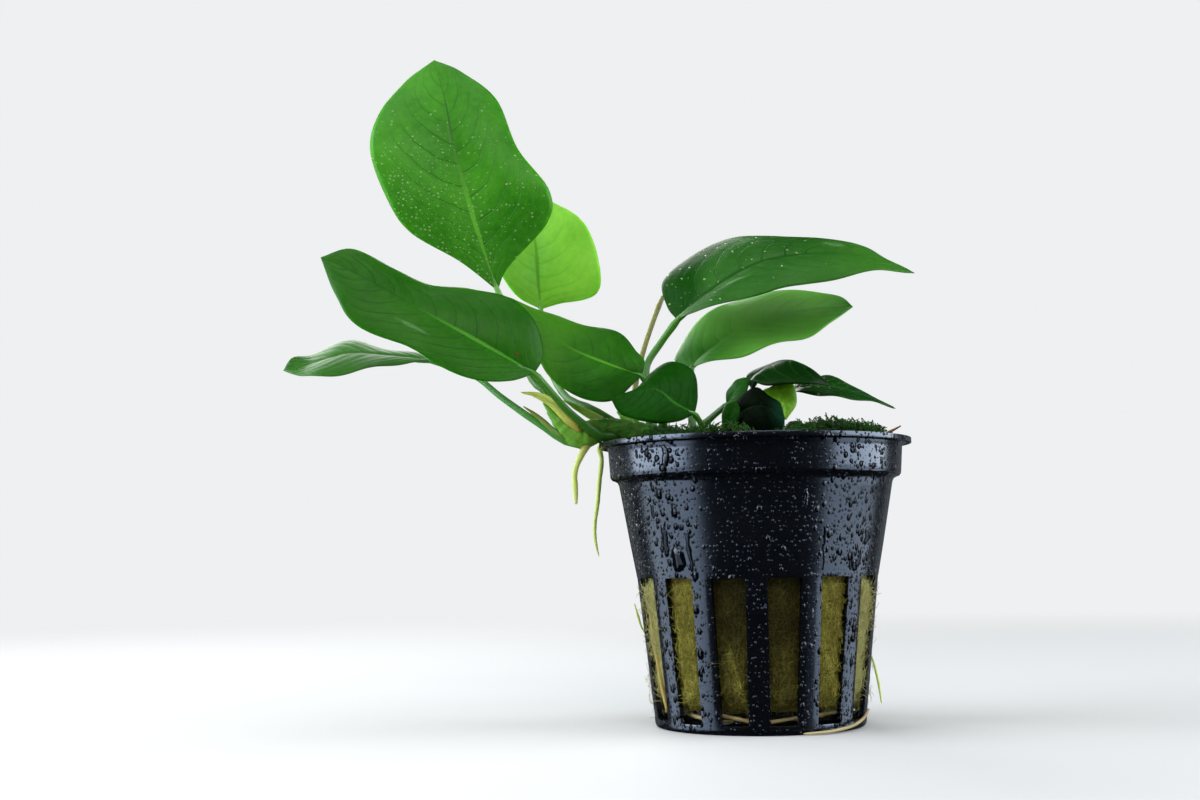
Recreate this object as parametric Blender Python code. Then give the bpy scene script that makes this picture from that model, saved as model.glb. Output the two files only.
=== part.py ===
# Dwarf anubias growing on rock wool in a slotted plastic net pot.
#
# The origin is the middle of the pot's flat base. +Z is up, +X runs across the
# view of the plant's showiest side, and -Y faces the viewer. All lengths below
# are in millimetres and become metres when a mesh is made.

import math

import bmesh
import bpy
from mathutils import Vector
from mathutils.noise import noise

MM = 0.001
GAP = 0.3
SHARP_DEGREES = 50          # edges that bend more than this stay sharp
POT_SHARP_DEGREES = 25

# Base colour and roughness of each material.
FINISHES = {
    "plastic_black": ((0.012, 0.014, 0.022), 0.3),
    "rock_wool_fibre": ((0.26, 0.23, 0.06), 0.95),
    "rhizome_green": ((0.12, 0.28, 0.03), 0.45),
    "shoot_olive": ((0.36, 0.38, 0.11), 0.45),
    "leaf_green": ((0.05, 0.19, 0.015), 0.3),
    "leaf_pale": ((0.16, 0.42, 0.03), 0.3),
    "leaf_sheen": ((0.1, 0.3, 0.05), 0.3),
    "leaf_olive": ((0.18, 0.2, 0.05), 0.3),
    "leaf_dark": ((0.02, 0.09, 0.01), 0.25),
    "leaf_black": ((0.006, 0.03, 0.008), 0.25),
    "leaf_yellow": ((0.2, 0.32, 0.03), 0.3),
    "root_pale": ((0.5, 0.55, 0.2), 0.55),
    "root_cream": ((0.55, 0.47, 0.28), 0.6),
    "twig_brown": ((0.2, 0.11, 0.04), 0.7),
    "moss_green": ((0.03, 0.09, 0.02), 0.8),
}

# Net pot: a moulded cup with a flanged lip, a collar and fourteen slots.
POT_HEIGHT = 47.7
WALL = 0.8
LIP_RADIUS = 26.5
LIP_THICKNESS = 0.8
LIP_ROOT = 0.3              # how far the lip's underside slopes down into the collar
COLLAR_TOP_RADIUS = 24.95
COLLAR_RADIUS = 24.65
COLLAR_BOTTOM = 41.4
COLLAR_DRAFT = 0.1
COLLAR_STEP = 0.3           # height over which the collar steps in to the body
BODY_TOP_RADIUS = 23.3
WAIST_RADIUS = 21.4
WAIST_HEIGHT = 30.5
SLOT_TOP_RADIUS = 20.35
SLOT_TOP = 24.9
SLOT_BOTTOM_RADIUS = 17.75
SLOT_BOTTOM = 1.5
BASE_RADIUS = 17.3
FOOT_ROUNDING = 0.5
FOOT_HEIGHT = 0.45
FOOT_INSET = 1.2            # how far inside the base's edge the floor's upper face ends
SLOTS = 14
RIB_WIDTH = 3.45
FRONT_RIB_ANGLE = -math.pi / 2 - 0.1
FLOOR_SLOT_OUTER = 12.5
FLOOR_SLOT_INNER = 6.0

# Rock wool plug that fills the pot, bulges into its slots and has a ragged lower edge.
WOOL_TOP = 43.6
WOOL_BOTTOM = 4.7
WOOL_RAGGED = 0.8
WOOL_CROWN = 0.3            # rise of the plug's top towards its middle
WOOL_HOLLOW = 0.4           # rise of its underside towards its middle
WOOL_TAPER = 0.5            # how far the lower edge draws in
WOOL_TOP_SHRINK = 0.55      # radius of the inner ring on the plug's top, as a share of the edge's
WOOL_FLOOR_SHRINK = 0.6     # and of the one on its underside
WOOL_LUMPS = 0.3            # depth of the dents where the plug lies behind the wall
SLOT_CLEARANCE = 0.75       # between a bulge and the ribs beside it
SLOT_RECESS = 0.25          # from the pot's outer face to the highest part of a bulge
SLOT_LUMPS = 0.35
WOOL_LEVELS = [WOOL_BOTTOM, 9.0, 15.0, 21.0, SLOT_TOP - 0.9, SLOT_TOP + 0.3, 40.0, WOOL_TOP]
NOISE_AROUND = 1.6          # the dents' pattern: its radius, and its rise for each millimetre of height
NOISE_RISE = 0.15

# Moss cushions: part of a ring round the pot, from start by sweep in degrees, with
# inner and outer radii and the heights of their edges and middle.
MOSS = {
    "moss_right": {"start": -88, "sweep": 144, "radii": (12.0, 22.6), "heights": (2.2, 5.4)},
    "moss_left": {"start": 196, "sweep": 72, "radii": (13.5, 22.4), "heights": (2.2, 4.6)},
}
MOSS_STEPS = 12
MOSS_BANDS = 3
MOSS_LUMPS = 0.35
MOSS_GRAIN = 0.3

# Creeping rhizome: it lies on the wool, crosses the lip on the left and ends
# in a knob outside the pot. Each entry is (x, y, z, radius).
RHIZOME = [
    (8.0, 4.0, 47.2, 1.2),
    (4.0, 3.5, 47.6, 1.9),
    (-3.0, 2.0, 47.8, 1.7),
    (-8.0, 1.0, 48.0, 2.1),
    (-14.0, 0.5, 48.3, 1.8),
    (-18.0, 0.0, 49.0, 2.1),
    (-22.5, -0.4, 50.0, 2.1),
    (-26.5, -1.0, 50.2, 1.8),
    (-28.8, -1.2, 49.2, 2.3),
    (-30.6, -1.4, 48.6, 1.7),
    (-31.4, -1.5, 48.3, 0.6),
]

# Shares of the length at which the cross-sections of a blade and a stalk stand.
BLADE_STATIONS = [0.05, 0.13, 0.24, 0.36, 0.48, 0.6, 0.72, 0.83, 0.92, 0.975]
STALK_STATIONS = [0.0, 0.3, 0.6, 0.85, 0.97]
STALK_SIDES = 8             # as many as a blade's cross-section has points
STALK_LOOKAHEAD = 0.03      # share of the stalk on each side that its direction is taken over
STALK_FLARE = 1.15          # swelling of the stalk's foot
RIB_TOP = 0.12
RIB_KEEL = 0.7
KEEL_TAPER = 0.6            # share of the keel's depth that is lost by the tip
BLADE_HALF_THICKNESS = 0.22

# Each leaf is a stalk that runs from the rhizome to the blade, then the blade's
# midrib and its two margins from base to tip. Left and right are as seen from
# the upper face with the tip pointing away. The base and the tip belong to the
# midrib, so the margins list only the points between them.
LEAVES = {
    "leaf_tall": {
        "stalk": [(-30.2, 0.6, 51.2), (-35.5, 1.0, 57.0), (-38.0, 2.5, 59.5), (-41.0, 5.0, 67.5)],
        "rib": [(-44.0, 6.0, 75.5), (-48.0, 4.5, 88.0), (-51.5, 5.0, 102.0), (-53.0, 7.0, 109.5),
                (-55.5, 11.0, 119.0)],
        "left": [(-50.5, 4.0, 80.5), (-59.0, 2.5, 85.5), (-63.0, 1.5, 91.5), (-66.0, 2.5, 100.5),
                 (-64.5, 6.0, 108.5), (-60.5, 9.0, 114.5)],
        "right": [(-42.0, 5.0, 79.5), (-35.0, 3.0, 87.0), (-34.5, 2.5, 92.5), (-40.0, 4.0, 100.5),
                  (-44.0, 8.0, 110.5), (-50.5, 10.0, 116.5)],
        "bulge": 0.05, "stalk_radius": 0.65, "finish": "leaf_green"},
    "leaf_pale": {
        "stalk": [(-22.5, 2.4, 50.6), (-27.5, 4.0, 54.0), (-32.5, 8.0, 57.0), (-36.0, 16.0, 65.0)],
        "rib": [(-37.0, 22.0, 74.5), (-37.5, 23.0, 80.0), (-38.0, 25.0, 87.5), (-39.0, 27.5, 94.0),
                (-41.0, 30.0, 99.5)],
        "left": [(-41.5, 21.0, 77.0), (-44.5, 20.0, 81.5), (-46.5, 22.0, 88.5), (-45.5, 27.0, 95.5)],
        "right": [(-33.5, 22.0, 75.5), (-26.5, 20.0, 77.0), (-26.0, 20.0, 83.0), (-28.5, 22.5, 90.5),
                  (-34.5, 27.0, 96.0)],
        "bulge": 0.04, "stalk_radius": 0.6, "finish": "leaf_pale"},
    "leaf_long": {
        "stalk": [(-28.2, -4.2, 50.2), (-32.0, -6.0, 53.0), (-35.5, -8.5, 57.0)],
        "rib": [(-37.0, -9.0, 59.0), (-45.0, -11.0, 63.5), (-55.5, -12.0, 69.5), (-64.0, -12.0, 74.5),
                (-72.5, -10.0, 79.0)],
        "left": [(-41.0, -12.0, 57.5), (-46.0, -14.0, 57.5), (-52.5, -15.0, 60.0), (-57.5, -15.5, 63.0),
                 (-66.0, -15.0, 67.0), (-69.5, -13.0, 72.0)],
        "right": [(-35.5, -8.0, 62.5), (-37.0, -7.0, 68.0), (-41.5, -6.0, 72.5), (-47.5, -6.0, 74.0),
                  (-54.5, -7.0, 74.5), (-60.5, -8.0, 77.5), (-67.5, -9.0, 80.5)],
        "bulge": 0.06, "stalk_radius": 0.65, "finish": "leaf_green"},
    "leaf_low": {
        "stalk": [(-32.0, -1.3, 47.0), (-36.5, -1.0, 50.8), (-43.5, 1.0, 56.5), (-48.5, 3.0, 60.5)],
        "rib": [(-55.5, 4.0, 63.0), (-63.5, 4.0, 64.0), (-70.5, 5.0, 64.5), (-78.0, 6.0, 62.5),
                (-82.0, 7.0, 62.0)],
        "left": [(-61.0, 0.0, 62.0), (-68.5, -2.0, 60.5), (-75.0, 0.0, 60.0), (-79.5, 4.0, 61.0)],
        "right": [(-57.5, 7.0, 64.5), (-66.0, 10.0, 66.5), (-72.5, 12.0, 68.0), (-77.5, 11.0, 65.0),
                  (-80.5, 8.0, 64.5)],
        "bulge": 0.04, "stalk_radius": 0.5, "finish": "leaf_sheen"},
    "leaf_centre": {
        "stalk": [(-15.5, -1.4, 50.8), (-16.0, -2.0, 53.0), (-17.0, -2.5, 56.0)],
        "rib": [(-19.0, -3.0, 59.0), (-24.5, -3.0, 61.0), (-32.0, -2.5, 64.5), (-37.0, -1.5, 69.5),
                (-42.0, 0.0, 73.5)],
        "left": [(-20.0, -5.0, 58.0), (-24.0, -7.0, 54.5), (-28.0, -7.0, 54.5), (-32.3, -5.4, 57.0),
                 (-35.3, -4.4, 59.6), (-37.6, -3.0, 64.0), (-40.6, -1.0, 69.2)],
        "right": [(-18.5, -2.0, 61.5), (-19.5, 0.0, 63.5), (-22.5, 2.0, 67.0), (-29.0, 3.0, 69.0),
                  (-35.5, 3.0, 71.0)],
        "bulge": 0.06, "stalk_radius": 0.6, "finish": "leaf_green"},
    "leaf_front": {
        "stalk": [(-9.0, -3.2, 49.2), (-9.0, -5.5, 50.0)],
        "rib": [(-10.5, -8.0, 52.0), (-14.0, -11.0, 53.5), (-17.0, -14.0, 55.5), (-21.0, -18.0, 55.0),
                (-24.5, -21.0, 53.5)],
        "left": [(-13.5, -11.0, 50.5), (-18.0, -15.0, 50.0), (-20.5, -18.0, 50.5), (-23.0, -20.0, 51.0)],
        "right": [(-9.5, -5.0, 56.0), (-10.5, -5.0, 59.5), (-14.0, -7.0, 61.0), (-17.5, -10.0, 59.0),
                  (-21.0, -16.0, 55.0)],
        "bulge": 0.06, "stalk_radius": 0.55, "finish": "leaf_green"},
    "leaf_right": {
        "stalk": [(-17.3, 2.4, 50.3), (-18.0, 3.0, 57.0), (-18.0, 4.0, 61.5), (-15.5, 4.5, 65.5)],
        "rib": [(-12.5, 4.0, 69.5), (-8.5, 2.0, 73.0), (-1.0, 0.0, 77.5), (6.0, -1.0, 79.5),
                (17.0, -2.0, 79.5), (28.0, -3.0, 76.0)],
        "left": [(-14.0, 8.0, 72.5), (-14.5, 11.0, 77.5), (-10.0, 14.0, 82.5), (-0.5, 12.0, 85.5),
                 (10.5, 9.0, 85.0), (20.0, 4.0, 82.0), (24.0, 1.0, 79.2)],
        "right": [(-10.5, 0.0, 70.0), (-4.5, -5.0, 71.0), (3.5, -9.0, 72.5), (9.0, -10.0, 73.0),
                  (18.5, -8.0, 75.5)],
        "bulge": 0.05, "stalk_radius": 0.7, "finish": "leaf_green"},
    "leaf_right_lower": {
        "stalk": [(-10.0, 3.8, 49.6), (-10.5, 6.0, 55.5)],
        "rib": [(-10.0, 8.0, 61.5), (-7.5, 8.0, 64.0), (-0.5, 8.0, 68.5), (9.5, 8.0, 71.5),
                (19.0, 8.0, 72.0)],
        "left": [(-12.8, 12.0, 63.5), (-11.0, 14.0, 67.5), (-7.8, 15.2, 71.2), (-3.5, 16.0, 74.0),
                 (4.0, 16.0, 76.0), (12.0, 14.0, 76.0), (17.0, 11.0, 74.5)],
        "right": [(-7.5, 5.0, 62.0), (-1.0, 3.0, 63.0), (5.5, 2.0, 65.0), (11.5, 3.0, 66.5),
                  (17.0, 6.0, 70.5)],
        "bulge": 0.05, "stalk_radius": 0.6, "finish": "leaf_green"},
    "leaf_back": {
        "stalk": [(-20.2, 2.8, 49.8), (-20.0, 6.0, 58.0), (-18.6, 8.0, 64.0), (-16.9, 10.5, 69.2)],
        "rib": [(-14.7, 13.0, 75.0), (-8.0, 22.0, 79.5), (-3.0, 30.0, 81.5), (1.0, 36.0, 81.0)],
        "left": [(-13.6, 19.0, 78.5), (-10.5, 27.0, 81.5), (-4.5, 34.0, 82.0)],
        "right": [(-8.0, 16.0, 76.0), (-1.0, 23.0, 78.0), (3.0, 31.0, 80.5)],
        "bulge": 0.05, "stalk_radius": 0.5, "finish": "leaf_olive"},
    "leaf_arched": {
        "stalk": [(2.0, 4.6, 50.4), (0.5, 3.4, 54.0)],
        "rib": [(0.0, 2.0, 57.0), (2.0, 0.0, 60.0), (6.0, -2.0, 61.3), (9.5, -4.0, 59.6),
                (12.6, -5.0, 56.6)],
        "left": [(-0.8, 2.8, 59.2), (1.6, 3.8, 60.8), (6.0, 3.4, 61.6), (9.6, 0.6, 60.0)],
        "right": [(-0.6, -3.6, 57.5), (1.5, -6.5, 57.0), (4.5, -7.6, 56.6), (8.0, -7.4, 56.9)],
        "bulge": 0.05, "stalk_radius": 0.45, "finish": "leaf_dark"},
    "leaf_trailing": {
        "stalk": [(5.5, 5.4, 49.8), (5.8, 5.2, 54.0)],
        "rib": [(7.2, 3.6, 57.0), (12.5, 1.5, 57.2), (18.0, -1.5, 55.6), (23.6, -5.0, 52.6)],
        "left": [(8.2, 7.0, 58.4), (13.0, 6.2, 59.6), (17.2, 3.6, 57.9), (20.6, 0.0, 54.8)],
        "right": [(7.6, 0.2, 56.0), (10.6, -2.4, 55.4), (14.6, -4.6, 54.6), (19.2, -6.0, 53.8)],
        "bulge": 0.05, "stalk_radius": 0.45, "finish": "leaf_dark"},
    "leaf_small": {
        "stalk": [(-8.6, 0.8, 50.6), (-7.4, 0.2, 51.8), (-6.2, -0.6, 52.8)],
        "rib": [(-4.6, -1.6, 54.0), (-3.2, -3.0, 56.0), (-1.8, -3.2, 57.4), (-0.8, -2.8, 58.2)],
        "left": [(-4.6, -1.4, 56.0), (-3.4, -1.4, 57.8), (-1.8, -2.0, 58.6)],
        "right": [(-3.4, -3.6, 54.0), (-1.8, -4.4, 55.0), (-1.0, -3.8, 56.8)],
        "bulge": 0.06, "stalk_radius": 0.4, "finish": "leaf_dark"},
    "leaf_curled": {
        "stalk": [(-4.4, -0.6, 49.4), (-4.6, -2.0, 49.6)],
        "rib": [(-4.2, -4.0, 50.1), (-2.0, -6.2, 52.6), (1.2, -8.2, 53.0), (4.4, -9.2, 50.8)],
        "left": [(-4.2, -3.7, 52.4), (-2.0, -5.4, 55.4), (0.4, -6.8, 55.9), (3.4, -8.2, 53.6)],
        "right": [(-3.0, -5.8, 48.6), (1.0, -8.4, 48.2), (3.6, -9.4, 48.6)],
        "bulge": 0.08, "stalk_radius": 0.4, "finish": "leaf_black"},
    "leaf_lobe": {
        "stalk": [(-5.9, -1.8, 48.6), (-5.4, -3.4, 48.9)],
        "rib": [(-4.9, -4.8, 49.5), (-4.5, -5.6, 51.0), (-4.0, -6.0, 52.6), (-3.4, -6.0, 54.2)],
        "left": [(-5.7, -4.6, 50.4), (-5.7, -5.0, 52.2), (-5.0, -5.4, 53.8)],
        "right": [(-3.7, -6.1, 49.9), (-3.0, -6.6, 51.4), (-2.8, -6.5, 53.0)],
        "bulge": 0.06, "stalk_radius": 0.35, "finish": "leaf_dark"},
    "leaf_yellowed": {
        "stalk": [(1.2, 0.6, 49.9), (1.6, -0.6, 53.4)],
        "rib": [(2.4, -1.8, 56.6), (3.9, -3.2, 56.4), (4.9, -4.2, 54.2), (5.1, -4.8, 51.0)],
        "left": [(4.6, -1.6, 57.6), (6.9, -2.2, 57.0), (7.0, -3.6, 53.8)],
        "right": [(1.2, -3.8, 55.9), (1.4, -4.9, 54.4), (3.0, -5.3, 52.2)],
        "bulge": 0.05, "stalk_radius": 0.4, "finish": "leaf_yellow"},
    "leaf_stub": {
        "stalk": [(6.6, 2.0, 47.9), (6.0, -1.5, 48.4)],
        "rib": [(5.4, -3.6, 49.2), (6.2, -4.6, 50.1), (7.2, -5.4, 50.2), (8.6, -6.2, 49.4)],
        "left": [(5.6, -3.4, 50.6), (6.8, -4.4, 50.9), (7.8, -5.4, 50.4)],
        "right": [(5.8, -5.0, 49.0), (7.0, -6.0, 49.0), (8.0, -6.5, 49.0)],
        "bulge": 0.05, "stalk_radius": 0.35, "finish": "leaf_dark"},
}

# Round shoots, roots and a twig. Each route lists (x, y, z, radius); rows is the number of rings.
STEMS = {
    "new_shoot": {"finish": "shoot_olive", "rows": 9, "route": [
        (-30.8, -3.6, 51.4, 0.7), (-32.0, -4.2, 52.6, 0.95), (-34.0, -4.8, 54.0, 0.95),
        (-36.5, -5.2, 55.6, 0.7), (-39.5, -5.4, 56.4, 0.15)]},
    "leaf_sheath": {"finish": "rhizome_green", "rows": 9, "route": [
        (-32.9, -3.4, 49.0, 0.5), (-34.4, -3.2, 50.2, 0.6), (-36.8, -2.8, 52.4, 0.5),
        (-39.3, -2.6, 54.2, 0.15)]},
    "aerial_root_short": {"finish": "root_pale", "rows": 9, "route": [
        (-28.9, -1.3, 46.3, 0.5), (-30.3, -1.6, 44.5, 0.45), (-30.6, -2.0, 42.0, 0.42),
        (-30.5, -2.0, 39.5, 0.42), (-30.5, -2.0, 37.4, 0.2)]},
    "aerial_root_long": {"finish": "root_pale", "rows": 9, "route": [
        (-23.8, 2.8, 49.8, 0.45), (-24.9, 6.6, 49.1, 0.45), (-26.4, 8.6, 47.9, 0.45),
        (-26.1, 8.9, 45.5, 0.45), (-26.5, 8.4, 42.0, 0.42), (-26.9, 8.0, 38.0, 0.38),
        (-27.4, 8.0, 34.5, 0.32), (-27.4, 8.0, 31.5, 0.27), (-26.8, 8.0, 28.5, 0.12)]},
    "rim_twig": {"finish": "twig_brown", "rows": 9, "route": [
        (21.0, -8.9, 48.1, 0.25), (21.8, -9.6, 48.5, 0.25), (23.3, -10.8, 49.3, 0.12)]},
    # these two leave the wool through a slot
    "loose_root_right": {"finish": "root_pale", "rows": 9, "route": [
        (18.65, -3.2, 10.9, 0.14), (19.3, -4.2, 7.6, 0.25), (19.6, -5.4, 3.8, 0.18)]},
    "loose_root_left": {"finish": "root_pale", "rows": 9, "route": [
        (-19.75, 0.6, 16.6, 0.14), (-20.3, 0.2, 18.4, 0.22), (-20.9, -0.4, 20.6, 0.12)]},
    # fine roots in the gap under the wool, and one that has slipped out at the front
    "root_bottom_left": {"finish": "root_cream", "rows": 8, "route": [
        (-13.0, -8.5, 3.0, 0.3), (-11.5, -10.5, 2.6, 0.35), (-8.5, -12.6, 2.0, 0.35),
        (-5.5, -13.6, 1.9, 0.25)]},
    "root_bottom_front": {"finish": "root_cream", "rows": 8, "route": [
        (-7.5, -14.0, 3.0, 0.3), (-4.6, -15.0, 2.4, 0.35), (-1.5, -14.9, 1.8, 0.35),
        (2.5, -14.6, 2.2, 0.3), (6.5, -13.8, 2.9, 0.2)]},
    "root_bottom_right": {"finish": "root_cream", "rows": 8, "route": [
        (2.5, -12.4, 2.0, 0.3), (6.0, -12.6, 2.3, 0.35), (9.5, -11.6, 2.8, 0.35),
        (12.6, -9.6, 3.0, 0.2)]},
    "root_bottom_back": {"finish": "root_cream", "rows": 8, "route": [
        (-11.0, 8.0, 2.4, 0.3), (-4.0, 12.5, 2.0, 0.35), (4.0, 12.8, 2.0, 0.35),
        (11.0, 8.6, 2.9, 0.2)]},
    "loose_root_front": {"finish": "root_cream", "rows": 8, "route": [
        (17.1, -7.4, 3.0, 0.2), (15.8, -9.8, 1.8, 0.25), (13.3, -13.1, 0.9, 0.25),
        (9.2, -16.2, 0.45, 0.25), (5.0, -17.9, 0.35, 0.15)]},
}
STEM_SIDES = 6
RHIZOME_SIDES = 8
RHIZOME_ROWS = 16


def catmull_rom(points, t):
    """Point at fraction t of the length of a smooth curve through the points."""
    vectors = [Vector(p) for p in points]
    lengths = [0.0]
    for a, b in zip(vectors, vectors[1:]):
        lengths.append(lengths[-1] + (b - a).length)
    target = t * lengths[-1]
    i = 0
    while i < len(vectors) - 2 and lengths[i + 1] < target:
        i += 1
    before = vectors[i - 1] if i > 0 else 2 * vectors[0] - vectors[1]
    after = vectors[i + 2] if i + 2 < len(vectors) else 2 * vectors[-1] - vectors[-2]
    a, b = vectors[i], vectors[i + 1]
    u = (target - lengths[i]) / max(lengths[i + 1] - lengths[i], 1e-9)
    return 0.5 * (2 * a + (b - before) * u + (2 * before - 5 * a + 4 * b - after) * u * u
                  + (3 * a - before - 3 * b + after) * u * u * u)


def material(name):
    colour, roughness = FINISHES[name]
    made = bpy.data.materials.new(name)
    made.use_nodes = True
    shader = made.node_tree.nodes["Principled BSDF"]
    shader.inputs["Base Color"].default_value = (*colour, 1.0)
    shader.inputs["Roughness"].default_value = roughness
    shader.inputs["Metallic"].default_value = 0.0
    return made


def add_object(name, vertices, faces, finish):
    """Make an object from millimetre vertices, with every face turned outward."""
    mesh = bpy.data.meshes.new(name)
    mesh.from_pydata([Vector(v) * MM for v in vertices], [], faces)
    work = bmesh.new()
    work.from_mesh(mesh)
    bmesh.ops.recalc_face_normals(work, faces=work.faces)
    work.to_mesh(mesh)
    work.free()
    mesh.shade_smooth()
    mesh.set_sharp_from_angle(angle=math.radians(SHARP_DEGREES))
    mesh.materials.append(finish)
    made = bpy.data.objects.new(name, mesh)
    bpy.context.collection.objects.link(made)
    return made


def skin_rings(rings, start, end):
    """Join equal rings into a closed skin that ends in a point at each end."""
    sides = len(rings[0])
    vertices = [point for ring in rings for point in ring] + [start, end]
    first, last = len(vertices) - 2, len(vertices) - 1
    faces = []
    for row in range(len(rings) - 1):
        for i in range(sides):
            j = (i + 1) % sides
            faces.append((row * sides + i, row * sides + j, (row + 1) * sides + j, (row + 1) * sides + i))
    top = (len(rings) - 1) * sides
    for i in range(sides):
        j = (i + 1) % sides
        faces.append((j, i, first))
        faces.append((top + i, top + j, last))
    return vertices, faces


def round_ring(centre, side, up, radius, sides):
    ring = []
    for i in range(sides):
        angle = math.pi - 2 * math.pi * i / sides
        ring.append(centre + radius * (math.cos(angle) * side + math.sin(angle) * up))
    return ring


def make_tube(name, route, finish, sides, rows):
    """Round shoot or root whose radius follows its route."""
    spots = [catmull_rom(route, k / (rows - 1)) for k in range(rows)]
    centres = [spot.to_3d() for spot in spots]
    rings = []
    side = None
    for k, centre in enumerate(centres):
        along = (centres[min(k + 1, rows - 1)] - centres[max(k - 1, 0)]).normalized()
        if side is None:
            side = along.cross(Vector((0, 1, 0))).normalized()
        side = (side - side.dot(along) * along).normalized()
        rings.append(round_ring(centre, side, along.cross(side), spots[k].w, sides))
    return add_object(name, *skin_rings(rings, centres[0], centres[-1]), finish)


def make_leaf(name, leaf, finish):
    """One leaf: a round stalk that widens into a thin blade with a keeled midrib."""
    rib = leaf["rib"]
    base, tip = rib[0], rib[-1]
    left = [base] + leaf["left"] + [tip]
    right = [base] + leaf["right"] + [tip]
    middle = [catmull_rom(rib, t) for t in [0.0] + BLADE_STATIONS + [1.0]]
    frames = []
    for k, t in enumerate(BLADE_STATIONS):
        along = (middle[k + 2] - middle[k]).normalized()
        across = catmull_rom(right, t) - catmull_rom(left, t)
        across = (across - across.dot(along) * along).normalized()
        frames.append((across, across.cross(along).normalized()))
    stalk = leaf["stalk"] + [base]
    side = frames[0][0]
    rings = []
    for t in reversed(STALK_STATIONS):
        ahead = catmull_rom(stalk, min(t + STALK_LOOKAHEAD, 1.0))
        behind = catmull_rom(stalk, max(t - STALK_LOOKAHEAD, 0.0))
        along = (ahead - behind).normalized()
        side = (side - side.dot(along) * along).normalized()
        up = side.cross(along).normalized()
        radius = leaf["stalk_radius"] * (STALK_FLARE if t == 0.0 else 1.0)
        rings.insert(0, round_ring(catmull_rom(stalk, t), side, up, radius, STALK_SIDES))
    for k, t in enumerate(BLADE_STATIONS):
        centre = middle[k + 1]
        across, up = frames[k]
        edges = [catmull_rom(left, t), catmull_rom(right, t)]
        halves = [centre.lerp(edge, 0.5) + up * leaf["bulge"] * (edge - centre).length for edge in edges]
        thick = up * BLADE_HALF_THICKNESS
        keel = up * RIB_KEEL * (1.0 - KEEL_TAPER * t)
        rings.append([
            edges[0], halves[0] + thick, centre + up * RIB_TOP, halves[1] + thick,
            edges[1], halves[1] - thick, centre - keel, halves[0] - thick])
    return add_object(name, *skin_rings(rings, catmull_rom(stalk, 0.0), Vector(tip)), finish)


def pot_radius_rows():
    """Outer and inner (radius, height) of the pot's wall from the lip to the floor's middle."""
    collar_inner = COLLAR_RADIUS - WALL
    lip_under = POT_HEIGHT - LIP_THICKNESS
    return [
        ((LIP_RADIUS, POT_HEIGHT), (collar_inner, POT_HEIGHT)),
        ((LIP_RADIUS, lip_under), (collar_inner, lip_under)),
        ((COLLAR_TOP_RADIUS, lip_under - LIP_ROOT), (collar_inner, lip_under - LIP_ROOT)),
        ((COLLAR_RADIUS, COLLAR_BOTTOM), (collar_inner - COLLAR_DRAFT, COLLAR_BOTTOM + WALL)),
        ((BODY_TOP_RADIUS, COLLAR_BOTTOM - COLLAR_STEP),
         (BODY_TOP_RADIUS - WALL, COLLAR_BOTTOM - 2 * COLLAR_STEP)),
        ((WAIST_RADIUS, WAIST_HEIGHT), (WAIST_RADIUS - WALL, WAIST_HEIGHT)),
        ((SLOT_TOP_RADIUS, SLOT_TOP), (SLOT_TOP_RADIUS - WALL, SLOT_TOP)),
        ((SLOT_BOTTOM_RADIUS, SLOT_BOTTOM), (SLOT_BOTTOM_RADIUS - WALL, SLOT_BOTTOM)),
        ((BASE_RADIUS + FOOT_ROUNDING, FOOT_HEIGHT), (BASE_RADIUS + FOOT_ROUNDING - FOOT_INSET, WALL)),
        ((BASE_RADIUS, 0.0), (BASE_RADIUS - FOOT_INSET, WALL)),
        ((FLOOR_SLOT_OUTER, 0.0), (FLOOR_SLOT_OUTER, WALL)),
        ((FLOOR_SLOT_INNER, 0.0), (FLOOR_SLOT_INNER, WALL)),
    ]


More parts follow.
